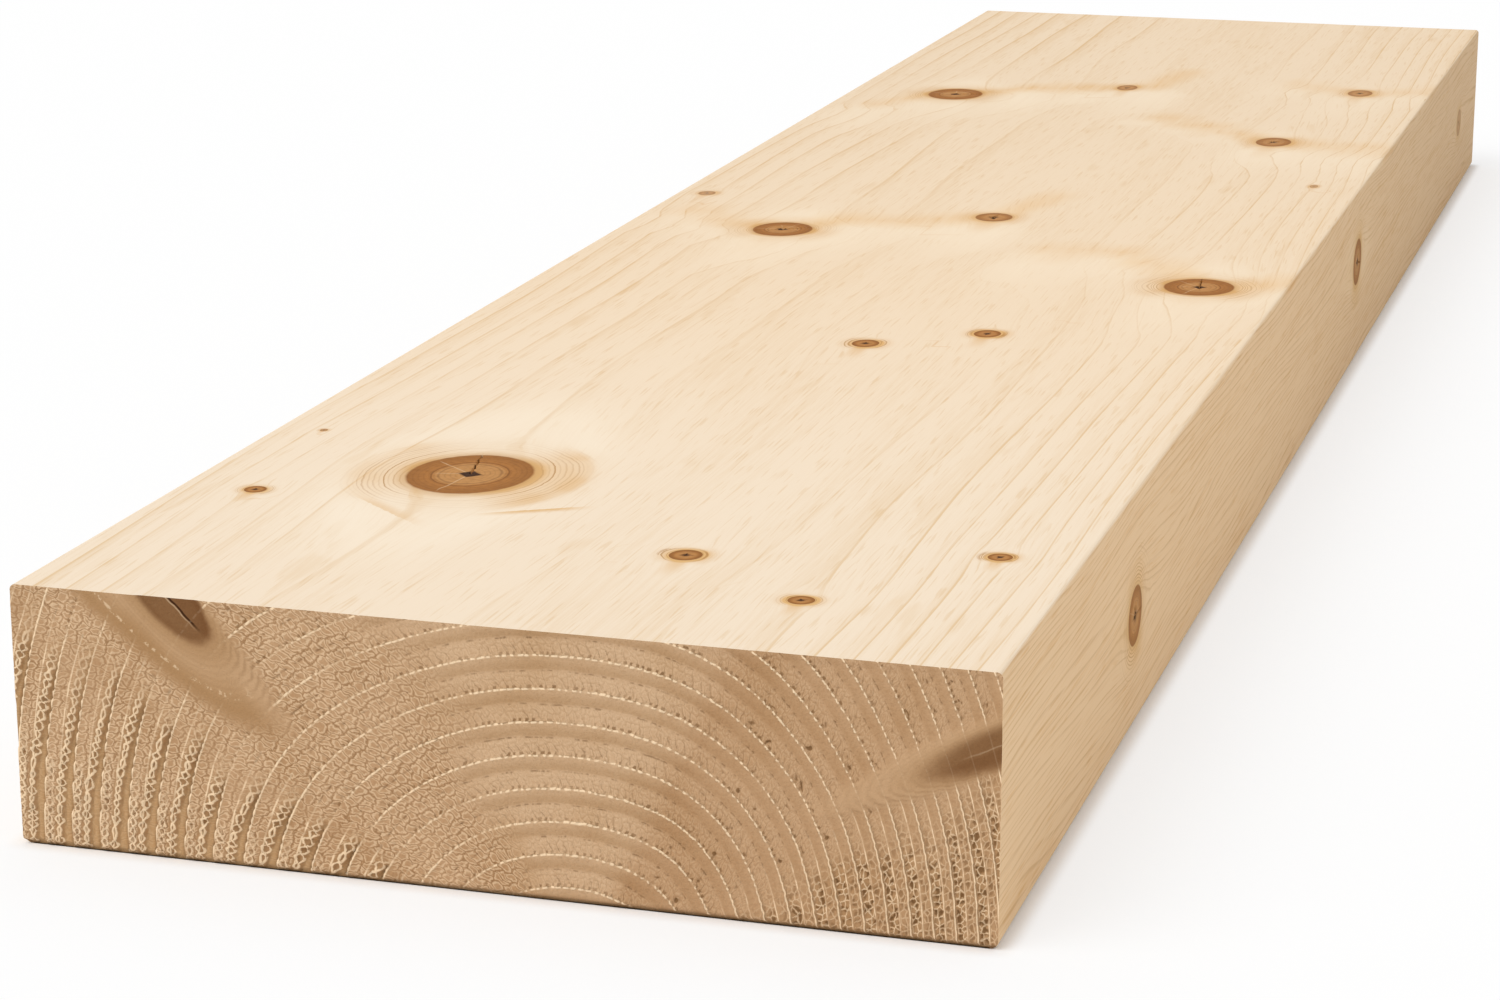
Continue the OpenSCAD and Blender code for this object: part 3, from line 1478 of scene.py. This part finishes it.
def fibre_net(at, threads, chains, ground, width):
    """The fine net of the calm wood: dark lines, partly its brown and partly painted shade in its
    grooves, and painted glints inside its cells.
    """
    across_ring = at.year * (width / NET_CELL * 0.6) + at.ring * 9.0
    cells = joined(across_ring, at.around / NET_CELL + at.year * 1.5, 0.0)
    gap = cell_walls(cells + joined(at.crumb * 0.5, at.ragged * 0.8, 0.0), 0.6)
    rough = fall(at.year, threads.half - 0.06, threads.half) * 0.3
    calm_left = chains.torn * (1.0 - chains.groove)
    plain = number("MAXIMUM", rough, number("MAXIMUM", at.hatched, calm_left))
    plain = plain * at.clear * (1.0 - ground)
    net = fall(gap, 0.012, 0.06) * plain * smooth(at.crumb + at.patch, -0.35, 0.0)
    return net, hump(gap, 0.08, 0.13, 0.18, 0.30) * plain


class Torn(NamedTuple):
    """All that the saw tore out of the rings, and where it left a foot and upright wood."""

    lips: Lips
    threads: Threads
    chains: Chains
    lace: Lace
    foot: Field
    upright: Field


def torn_rings(at, up, width, cell):
    """Tears the rings of a sawn end as the blade does."""
    lips = ring_lips(at, cell)
    threads = mid_threads(at)
    chains = torn_chains(at, threads.broken)
    lace = torn_lace(at, width)
    foot = fall(up, 0.0, FOOT_ROUND)
    upright = smooth(at.angle, *UPRIGHT) * (1.0 - at.torn)
    return Torn(lips, threads, chains, lace, foot, upright)


def shaded_end_pits(at, torn, notch):
    """The dark pits of an end, brown with painted shade in them, and painted shade beside each lip and
    along the foot.
    """
    threads, chains = torn.threads, torn.chains
    shade = fall(at.year, *LIP_SHADE) * torn.lips.ruled * (0.5 + 0.2 * chains.torn)
    shaded_pit = strongest(
        notch * 0.9,
        leaf_slits(at) * 0.5 * (1.0 - at.torn),
        dark_blots(at, torn.upright),
        threads.thread * threads.broken * threads.frayed * 0.6 * (1.0 - at.torn),
        chains.eyes * 0.55,
        torn.lace.hole * 0.9,
        shade * (0.35 + 0.65 * at.torn),
    )
    return number("MAXIMUM", shaded_pit * (1.0 - at.halo * 0.85), torn.foot * 0.7)


def end_fibres(at, torn):
    """The raised pale fibres of an end, pale wood with a painted highlight on their ridges."""
    threads = torn.threads
    return strongest(
        torn.lips.line,
        threads.thread * torn.lips.ruled * (0.3 + 0.5 * threads.broken) * at.clear,
        torn.chains.wire * 0.9,
        torn.lace.wall * 0.6,
    )


def dense_bands(at, torn):
    """The smooth dense bands of the calm wood."""
    half = torn.threads.half
    band = hump(at.year, half + 0.01, half + 0.08, 0.62, 0.97) * (1.0 - at.hatched * 0.8)
    return band * (1.0 - at.torn * 0.85) * (0.72 - 0.35 * torn.upright)


def ring_height(at, torn, ground):
    """The height of the rings, as a share of the groove's depth."""
    dense = smooth(at.year, torn.threads.half, 0.95)
    calm = -0.45 + 0.28 * dense * (1.0 - at.hatched) * (1.0 - torn.upright * 0.5)
    tear = torn.chains.groove * -0.75 - ground * 0.25 - 0.2
    raised = blended(calm, tear, at.torn) + torn.lips.line * 0.35
    return raised + torn.chains.wire * 0.35 + torn.lace.wall * 0.25


class SawnEnd(NamedTuple):
    """What the saw left at a place on an end, with the height in millimetres."""

    at: EndPlace
    height: Field
    band: Field
    groove: Field
    ground: Field
    fibre: Field
    shaded_pit: Field
    net: Field
    glint: Field
    dim: Field


def sawn_end(place, growth, relief):
    """Finds what the saw left at a place on an end."""
    width = growth.ring_width * MM
    across, _, up = parts(place)
    at = end_place(place, growth)
    torn = torn_rings(at, up, width, relief.fibre_cell * MM)
    chains, foot = torn.chains, torn.foot
    notch = lip_notches(at, torn.lips)
    shaded_pit = shaded_end_pits(at, torn, notch)
    fibre = end_fibres(at, torn)
    ground = number("MAXIMUM", chains.ground, torn.lace.ground)
    net, glint = fibre_net(at, torn.threads, chains, ground, width)
    band = dense_bands(at, torn)

    height = ring_height(at, torn, ground) - shaded_pit * 0.5 + notch * 0.35
    height = height * (0.15 + 0.85 * at.clear) - net * 0.15
    edge_gap = number("MINIMUM", HALF_WIDTH - number("ABSOLUTE", across), THICKNESS - up)
    height = height * (0.3 + 0.7 * smooth(edge_gap, *CLEAR_EDGE)) - at.core * 0.3
    depth = relief.groove_depth * MM
    height = (height * depth + at.crumb * 0.06) * (1.0 - foot) - foot * FOOT_ROUND
    dim = smooth(at.lean, *DIMMED) + torn.upright * 0.6
    return SawnEnd(
        at, height, band, chains.groove, ground, fibre * (1.0 - foot), shaded_pit, net, glint, dim
    )


# The pale dots round a halo, as its reach, and the pale axis and dark crack of a core, in millimetres
HALO_DOTS = (0.66, 0.69, 0.71, 0.74)
CORE_AXIS = (-0.36, -0.24, -0.16, -0.04)
AXIS_FADES = (3.0, 7.0)
CORE_CRACK = (-0.10, 0.04, 0.22, 0.36)
CRACK_FADES = (5.0, 7.5)


def scarred(colour, scar, at, colours):
    """Lays one of the knots that the saw cut along over the colour of an end."""
    onion = number("FRACT", scar.core_gap * 6.5 + at.ragged * 0.8)
    onion = hump(onion, 0.0, 0.35, 0.4, 0.8) * (0.12 + 0.28 * smooth(scar.aside, -1.0, 2.0))
    lower = smooth(scar.aside * -1.0, -1.0, 3.0)
    brown = smooth(scar.halo_gap + at.patch * 0.4, 0.25, 0.8) * lower * scar.knot.cracked
    close = fall(scar.core_gap, 0.9, 2.1 - 0.7 * scar.knot.softness) * 0.8
    stain = tinted(colours.end_halo, colours.end_pit_and_shade, onion)
    stain = tinted(stain, colours.end_stain_and_shade, number("MAXIMUM", brown, close))
    colour = tinted(colour, stain, scar.halo * (0.92 - 0.5 * scar.knot.softness))
    dots = hump(scar.halo_gap + at.ragged * 0.08, *HALO_DOTS)
    dots = dots * smooth(at.crumb + at.ragged, 0.05, 0.15) * lower * scar.knot.cracked
    colour = tinted(colour, colours.end_fibre_and_highlight, dots * scar.halo * 0.45)
    core = tinted(colours.end_core, colours.knot_dark, smooth(at.crumb, -0.2, 0.3) * 0.25)
    lobe = smooth(scar.aside, -0.2, 0.5) * 0.4 + smooth(scar.core_gap, 0.6, 1.0) * 0.3
    core = tinted(core, colours.knot_dark, lobe)
    colour = tinted(colour, core, scar.core * 0.95)
    axis = hump(scar.aside, *CORE_AXIS) * fall(scar.inward, *AXIS_FADES)
    axis = axis * scar.core * (0.14 + 0.16 * scar.knot.cracked)
    # A dark crack across the core, painted with the shade inside it
    crack = hump(scar.aside, *CORE_CRACK) * fall(scar.inward, *CRACK_FADES)
    colour = tinted(colour, colours.end_fibre_and_highlight, axis)
    return tinted(colour, colours.check_shade, crack * scar.core * scar.knot.cracked)


SAWN_ROUGHNESS = 0.8


def sawn_wood(growth, colours, relief):
    """The sawn ends: smooth dense bands, torn pale fibres and dark pits."""
    material, tree, shader = new_material("sawn_softwood")
    place = object_place(tree)
    end = sawn_end(place, growth, relief)
    colour = tinted(colours.end_earlywood, colours.end_latewood, end.band)
    colour = stained(colour, colours.crumb_tint, smooth(end.at.crumb, -0.1, 0.25) * 0.45)
    colour = stained(colour, colours.patch_tint, smooth(end.at.patch, -0.1, 0.25))
    colour = stained(colour, colours.dim_tint, end.dim)
    colour = tinted(colour, colours.end_groove, end.groove)
    # Painted shade in the sunken ground under the chains and in the lace
    colour = tinted(colour, colours.end_stain_and_shade, end.ground * 0.5)
    # Painted highlight and painted shade: glints inside the net's cells and the dark lines of its
    # grooves
    colour = tinted(colour, colours.end_fibre_and_highlight, end.glint * 0.4)
    colour = tinted(colour, colours.end_pit_and_shade, end.net * 0.55)
    for scar in end.at.scars:
        colour = scarred(colour, scar, end.at, colours)
    # The pits in their brown, with painted shade in their depth, beside the lips and along the foot
    colour = tinted(colour, colours.end_pit_and_shade, end.shaded_pit * 0.85)
    # Raised fibres: pale wood with a painted highlight on their ridges
    colour = tinted(colour, colours.end_fibre_and_highlight, end.fibre)
    feed(shader.inputs["Base Color"], colour)
    shader.inputs["Roughness"].default_value = SAWN_ROUGHNESS
    shader.inputs["Specular IOR Level"].default_value = BARE_WOOD_GLOSS
    bumped(shader, noise(place * CRUMB_SWELLS, 2.0, 0.65) * 0.18, 0.8)
    return material


# The coarse mesh of the blank: its steps, and its lines close to the arrises, in millimetres
LATTICE_STEP = 2.64
LATTICE_STEP_ALONG = 9.0
ARRIS_LINES = (0.0, 0.35, 0.6, 0.8, 1.05, 1.3, 1.9)


def grid_lines(low, high, step, near_ends=()):
    """Grid lines from low to high, about a step apart, with extra ones close to both ends."""
    inset = max(near_ends, default=0.0)
    count = max(1, round((high - low - 2 * inset) / step))
    inner = np.linspace(low + inset, high - inset, count + 1)
    extra = [low + gap for gap in near_ends] + [high - gap for gap in near_ends]
    return sorted({round(float(line), 6) for line in (*inner, *extra)})


def box_lattice(lines_x, lines_y, lines_z):
    """A closed box of quads whose edges follow the grid lines."""
    mesh = bmesh.new()
    corners = {}

    def corner(*key):
        if key not in corners:
            place = [lines[i] for lines, i in zip((lines_x, lines_y, lines_z), key)]
            corners[key] = mesh.verts.new(place)
        return corners[key]

    last = [len(lines) - 1 for lines in (lines_x, lines_y, lines_z)]
    for axis in range(3):
        first, second = [a for a in range(3) if a != axis]
        for level in (0, last[axis]):
            for i in range(last[first]):
                for j in range(last[second]):
                    keys = []
                    for di, dj in ((0, 0), (1, 0), (1, 1), (0, 1)):
                        key = [0, 0, 0]
                        key[axis] = level
                        key[first] = i + di
                        key[second] = j + dj
                        keys.append(tuple(key))
                    mesh.faces.new([corner(*key) for key in keys])
    bmesh.ops.recalc_face_normals(mesh, faces=mesh.faces)
    return mesh


# How long an edge may be at the ends, in the knots and along their open checks, in millimetres
NEAR_CELL = 0.44
FAR_CELL = 0.9
KNOT_CELL = 0.45
CHECK_CELL = 0.22
CELLS_TO_RADIUS = 5
# How much longer it may be for each millimetre away from them
CELL_GROWTH = 0.33
KNOT_CELL_GROWTH = 0.6
# The fine mesh goes on round a knot to this many radii, and larger knots than this have an open check
FINE_REACH = 1.2
CHECKED_SIZE = 4.0
# An edge is split when it is longer than it may be by this factor
SPLIT_FROM = 1.15
MOST_SPLITS = 6


def check_gap(knot, places):
    """How far places lie from the open check of a knot."""
    way = np.array(knot.check)
    out = places - np.array(knot.centre)
    share = np.clip(out @ way / (way @ way), 0.0, 1.0)
    return np.linalg.norm(out - share[:, None] * way, axis=1)


def wanted_cell(places):
    """How long an edge may be at each place, in millimetres."""
    along = places[:, 1]
    cell = np.minimum(
        NEAR_CELL + CELL_GROWTH * (along + HALF_LENGTH),
        FAR_CELL + CELL_GROWTH * (HALF_LENGTH - along),
    )
    for knot in KNOTS:
        gap = np.linalg.norm(places - np.array(knot.centre), axis=1)
        least = max(KNOT_CELL, knot.size / CELLS_TO_RADIUS)
        outside = np.maximum(gap - FINE_REACH * knot.size, 0.0)
        cell = np.minimum(cell, least + KNOT_CELL_GROWTH * outside)
        if knot.size > CHECKED_SIZE:
            cell = np.minimum(cell, CHECK_CELL + KNOT_CELL_GROWTH * check_gap(knot, places))
    return cell


def refine(mesh):
    """Splits the edges that are too long for the relief they carry."""
    for _ in range(MOST_SPLITS):
        mesh.edges.ensure_lookup_table()
        ends = np.array([[v.co[:] for v in edge.verts] for edge in mesh.edges])
        length = np.linalg.norm(ends[:, 0] - ends[:, 1], axis=1)
        long = length > SPLIT_FROM * wanted_cell(ends.mean(axis=1))
        if not long.any():
            break
        edges = [mesh.edges[i] for i in np.flatnonzero(long)]
        bmesh.ops.subdivide_edges(mesh, edges=edges, cuts=1, use_grid_fill=True)


STRAIGHT = math.radians(179.0)


def cut_straight_corners(mesh):
    """Cuts into triangles the faces that have a corner on a straight side, so that none lies flat."""
    faces = [face for face in mesh.faces if any(loop.calc_angle() > STRAIGHT for loop in face.loops)]
    bmesh.ops.triangulate(mesh, faces=faces, quad_method="BEAUTY", ngon_method="BEAUTY")


def ease_arrises(mesh, upper, lower):
    """Rounds the four long arrises."""
    for vert in mesh.verts:
        across, _, up = vert.co
        radius = upper if up > THICKNESS / 2 else lower
        out = abs(across) - (HALF_WIDTH - radius)
        rise = abs(up - THICKNESS / 2) - (THICKNESS / 2 - radius)
        if out > 0 and rise > 0:
            share = max(out, rise) / math.hypot(out, rise)
            vert.co.x = math.copysign(HALF_WIDTH - radius + out * share, across)
            lift = THICKNESS / 2 - radius + rise * share
            vert.co.z = THICKNESS / 2 + math.copysign(lift, up - THICKNESS / 2)


# The faces of the two ends, and how near in millimetres to the end a face of it lies
SAWN = "sawn"
END_GAP = 0.01


def plank_blank(relief):
    """The planed and sawn blank, with a mesh fine enough for its relief."""
    lines_x = grid_lines(-HALF_WIDTH, HALF_WIDTH, LATTICE_STEP, ARRIS_LINES)
    lines_y = grid_lines(-HALF_LENGTH, HALF_LENGTH, LATTICE_STEP_ALONG)
    lines_z = grid_lines(0.0, THICKNESS, LATTICE_STEP, ARRIS_LINES)
    mesh = box_lattice(lines_x, lines_y, lines_z)
    refine(mesh)
    cut_straight_corners(mesh)
    mesh.faces.ensure_lookup_table()
    on_end = [
        all(abs(vert.co.y) > HALF_LENGTH - END_GAP for vert in face.verts) for face in mesh.faces
    ]
    for edge in mesh.edges:
        edge.smooth = len({on_end[face.index] for face in edge.link_faces}) == 1
    for face in mesh.faces:
        face.smooth = True
    ease_arrises(mesh, relief.upper_arris * MM, relief.lower_arris * MM)
    bmesh.ops.scale(mesh, vec=(1.0 / MM,) * 3, verts=mesh.verts)
    data = bpy.data.meshes.new("plank_wood")
    mesh.to_mesh(data)
    mesh.free()
    sawn = data.attributes.new(SAWN, "BOOLEAN", "FACE")
    sawn.data.foreach_set("value", on_end)
    return data


def enabled(sockets, name):
    """The socket of that name that the node's settings leave in use."""
    return next(socket for socket in sockets if socket.enabled and socket.name == name)


def kept_value(tree, name, kind):
    """A value that the mesh keeps under a name."""
    node = tree.nodes.new("GeometryNodeInputNamedAttribute")
    node.data_type = kind
    node.inputs["Name"].default_value = name
    return Field(tree, enabled(node.outputs, "Attribute"))


def keep(geometry, name, value):
    """Keeps a vector at the points of the mesh."""
    node = geometry.tree.nodes.new("GeometryNodeStoreNamedAttribute")
    node.data_type = "FLOAT_VECTOR"
    node.domain = "POINT"
    node.inputs["Name"].default_value = name
    feed(node.inputs["Geometry"], geometry)
    feed(enabled(node.inputs, "Value"), value)
    return Field(geometry.tree, node.outputs["Geometry"])


def moved(geometry, chosen, offset):
    """Moves the chosen points."""
    node = geometry.tree.nodes.new("GeometryNodeSetPosition")
    feed(node.inputs["Geometry"], geometry)
    feed(node.inputs["Selection"], chosen)
    feed(node.inputs["Offset"], offset)
    return Field(geometry.tree, node.outputs["Geometry"])


def coated(geometry, chosen, material):
    """Gives the chosen faces a material."""
    node = geometry.tree.nodes.new("GeometryNodeSetMaterial")
    feed(node.inputs["Geometry"], geometry)
    feed(node.inputs["Selection"], chosen)
    node.inputs["Material"].default_value = material
    return Field(geometry.tree, node.outputs["Geometry"])


def negated(chosen):
    """What isn't chosen."""
    node = chosen.tree.nodes.new("FunctionNodeBooleanMath")
    node.operation = "NOT"
    feed(node.inputs[0], chosen)
    return Field(chosen.tree, node.outputs[0])


def relief_tree(growth, relief, planed, sawn):
    tree = bpy.data.node_groups.new("plank_relief", "GeometryNodeTree")
    tree.interface.new_socket("Geometry", in_out="INPUT", socket_type="NodeSocketGeometry")
    tree.interface.new_socket("Relief", in_out="INPUT", socket_type="NodeSocketFloat")
    tree.interface.new_socket("Geometry", in_out="OUTPUT", socket_type="NodeSocketGeometry")
    entry = tree.nodes.new("NodeGroupInput")
    leave = tree.nodes.new("NodeGroupOutput")
    geometry = Field(tree, entry.outputs["Geometry"])
    amount = Field(tree, entry.outputs["Relief"])
    position = Field(tree, tree.nodes.new("GeometryNodeInputPosition").outputs["Position"])
    normal = Field(tree, tree.nodes.new("GeometryNodeInputNormal").outputs["Normal"])
    place = scaled(position, MM)

    grown = grown_round_knots(place, growth)
    for name, value in grown.items():
        geometry = keep(geometry, name, value)
    on_end = kept_value(tree, SAWN, "BOOLEAN")
    outward = number("SIGN", parts(place)[1])
    height = sawn_end(place, growth, relief).height
    geometry = moved(geometry, on_end, joined(0.0, height * outward * amount / MM, 0.0))
    wood = wood_at(place, {name: kept_value(tree, name, "FLOAT_VECTOR") for name in grown})
    big = smooth(wood.size, CHECKED_SIZE - 1.0, CHECKED_SIZE)
    opened = knot_checks(wood, place).open * wood.tone * big
    sink = scaled(normal, opened * amount * (-relief.check_depth))
    geometry = moved(geometry, negated(on_end), sink)

    realize = tree.nodes.new("GeometryNodeRealizeInstances")
    feed(realize.inputs["Geometry"], geometry)
    geometry = Field(tree, realize.outputs["Geometry"])
    geometry = coated(geometry, True, planed)
    geometry = coated(geometry, on_end, sawn)
    feed(leave.inputs["Geometry"], geometry)
    return tree


def set_input(modifier, name, value):
    """Sets a Geometry Nodes modifier's input by its socket's identifier."""
    for item in modifier.node_group.interface.items_tree:
        if item.item_type == "SOCKET" and item.in_out == "INPUT" and item.name == name:
            modifier[item.identifier] = value
            return
    raise KeyError(name)


class PLANK_OT_plank(bpy.types.Operator):
    """Builds the plank with its torn ends, grain and knots"""

    bl_idname = "plank.plank"
    bl_label = "Build Plank"

    def execute(self, context):
        scene = context.scene
        growth, relief = scene.plank_growth, scene.plank_relief
        planed = planed_wood(growth, scene.plank_colours)
        sawn = sawn_wood(growth, scene.plank_colours, relief)
        piece = bpy.data.objects.new("plank_wood", plank_blank(relief))
        scene.collection.objects.link(piece)
        modifier = piece.modifiers.new("relief", "NODES")
        modifier.node_group = relief_tree(growth, relief, planed, sawn)
        set_input(modifier, "Relief", 1.0)
        shaped = piece.evaluated_get(context.evaluated_depsgraph_get())
        blank = piece.data
        piece.data = bpy.data.meshes.new_from_object(shaped)
        piece.modifiers.clear()
        bpy.data.meshes.remove(blank)
        piece.data.name = "plank_wood"
        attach(piece, "root")
        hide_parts("plank")
        return {"FINISHED"}


# How much of the floor's white the camera sees through its shading, near the plank and in the open
BACKDROP_SHARE = 0.66
OPEN_SHARE = 0.84
# How far from the plank these start, in millimetres
CONTACT_REACH = 3.0
OPEN_REACH = 45.0
FLOOR_ROUGHNESS = 0.9
WHITE = (1.0, 1.0, 1.0, 1.0)
# Half the side of the floor, and where the camera starts to see, in metres
FLOOR_HALF = 6.0
CLIP_START = 0.01
# Width of the camera's sensor, in millimetres
SENSOR_WIDTH = 36.0


def plain_floor(scene, colour):
    """A wide floor that keeps the plank's shadow."""
    signs = ((-1, -1), (1, -1), (1, 1), (-1, 1))
    corners = [(x * FLOOR_HALF, y * FLOOR_HALF, 0.0) for x, y in signs]
    data = bpy.data.meshes.new("floor")
    data.from_pydata(corners, [], [(0, 1, 2, 3)])
    floor = bpy.data.objects.new("floor", data)
    scene.collection.objects.link(floor)
    material, tree, shader = new_material("floor_paper")
    shader.inputs["Base Color"].default_value = (*colour, 1.0)
    shader.inputs["Roughness"].default_value = FLOOR_ROUGHNESS
    shader.inputs["Specular IOR Level"].default_value = 0.0
    glow = tree.nodes.new("ShaderNodeEmission")
    path = tree.nodes.new("ShaderNodeLightPath")
    seen = Field(tree, path.outputs["Is Camera Ray"])
    mix = tree.nodes.new("ShaderNodeMixShader")
    across, along, _ = parts(object_place(tree))
    out = number("MAXIMUM", number("ABSOLUTE", across) - HALF_WIDTH, 0.0)
    ahead = number("MAXIMUM", number("ABSOLUTE", along) - HALF_LENGTH, 0.0)
    gap = flat_length(out, ahead)
    # Painted light: the camera sees white glow over the floor's own shading, none where the plank
    # stands and more further out, lightening its shadow
    share = smooth(gap, CONTACT_REACH, OPEN_REACH) * (OPEN_SHARE - BACKDROP_SHARE) + BACKDROP_SHARE
    feed(mix.inputs["Fac"], seen * smooth(gap, 0.0, CONTACT_REACH) * share)
    tree.links.new(shader.outputs["BSDF"], mix.inputs[1])
    tree.links.new(glow.outputs["Emission"], mix.inputs[2])
    output = next(node for node in tree.nodes if node.type == "OUTPUT_MATERIAL")
    tree.links.new(mix.outputs["Shader"], output.inputs["Surface"])
    data.materials.append(material)


def studio_sky(scene, strength):
    """Even light from all around, behind a white backdrop."""
    world = bpy.data.worlds.new("studio")
    world.use_nodes = True
    tree = world.node_tree
    tree.nodes.clear()
    path = tree.nodes.new("ShaderNodeLightPath")
    seen = Field(tree, path.outputs["Is Camera Ray"])
    for ray in ("Is Glossy Ray", "Is Transmission Ray"):
        seen = number("MAXIMUM", seen, Field(tree, path.outputs[ray]))
    background = tree.nodes.new("ShaderNodeBackground")
    feed(background.inputs["Strength"], blended(strength, 1.0, seen))
    output = tree.nodes.new("ShaderNodeOutputWorld")
    tree.links.new(background.outputs["Background"], output.inputs["Surface"])
    background.inputs["Color"].default_value = WHITE
    scene.world = world


def soft_lamp(scene, stage):
    """The soft key lamp, high on the left."""
    data = bpy.data.lights.new("key", "SUN")
    data.energy = stage.key_strength
    data.angle = stage.key_spread
    lamp = bpy.data.objects.new("key", data)
    lamp.rotation_euler = Vector(stage.key_direction).to_track_quat("Z", "Y").to_euler()
    scene.collection.objects.link(lamp)


def photo_camera(scene, stage):
    """The camera at the viewing angle of the picture."""
    data = bpy.data.cameras.new("camera")
    data.lens = stage.camera_lens
    data.sensor_width = SENSOR_WIDTH
    data.clip_start = CLIP_START
    turn, tilt = stage.camera_turn, stage.camera_tilt
    ahead = Vector(
        (-math.sin(turn) * math.cos(tilt), math.cos(turn) * math.cos(tilt), -math.sin(tilt))
    )
    camera = bpy.data.objects.new("camera", data)
    camera.location = stage.camera_place
    camera.rotation_euler = ahead.to_track_quat("-Z", "Y").to_euler()
    scene.collection.objects.link(camera)
    scene.camera = camera


class PLANK_OT_stage(bpy.types.Operator):
    """Sets the plain floor, the soft light and the camera"""

    bl_idname = "plank.stage"
    bl_label = "Set Stage"

    def execute(self, context):
        scene = context.scene
        stage = scene.plank_stage
        scene.view_settings.view_transform = "Standard"
        plain_floor(scene, stage.floor_colour)
        studio_sky(scene, stage.sky_strength)
        soft_lamp(scene, stage)
        photo_camera(scene, stage)
        return {"FINISHED"}


class PLANK_PT_sidebar(bpy.types.Panel):
    """Lists the plank's sizes, colours and operators"""

    bl_idname = "PLANK_PT_sidebar"
    bl_label = "Plank"
    bl_space_type = "VIEW_3D"
    bl_region_type = "UI"
    bl_category = "Plank"

    def draw(self, context):
        for group in PROPERTY_GROUPS:
            settings = getattr(context.scene, group)
            column = self.layout.column()
            for name in settings.bl_rna.properties.keys():
                if name not in ("rna_type", "name"):
                    column.prop(settings, name)
        self.layout.operator(PLANK_OT_plank.bl_idname)
        self.layout.operator(PLANK_OT_stage.bl_idname)


PROPERTY_GROUPS = {
    "plank_growth": PlankGrowth,
    "plank_colours": PlankColours,
    "plank_relief": PlankRelief,
    "plank_stage": PlankStage,
}
CLASSES = (*PROPERTY_GROUPS.values(), PLANK_OT_plank, PLANK_OT_stage, PLANK_PT_sidebar)


def register():
    """Adds the classes and their settings to Blender."""
    for cls in CLASSES:
        bpy.utils.register_class(cls)
    for name, group in PROPERTY_GROUPS.items():
        setattr(bpy.types.Scene, name, PointerProperty(type=group))


def unregister():
    """Takes the classes and their settings out of Blender."""
    for name in PROPERTY_GROUPS:
        delattr(bpy.types.Scene, name)
    for cls in reversed(CLASSES):
        bpy.utils.unregister_class(cls)


def main():
    """Builds the plank and its stage."""
    register()
    bpy.ops.plank.plank()
    bpy.ops.plank.stage()
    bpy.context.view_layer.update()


if __name__ == "__main__":
    main()
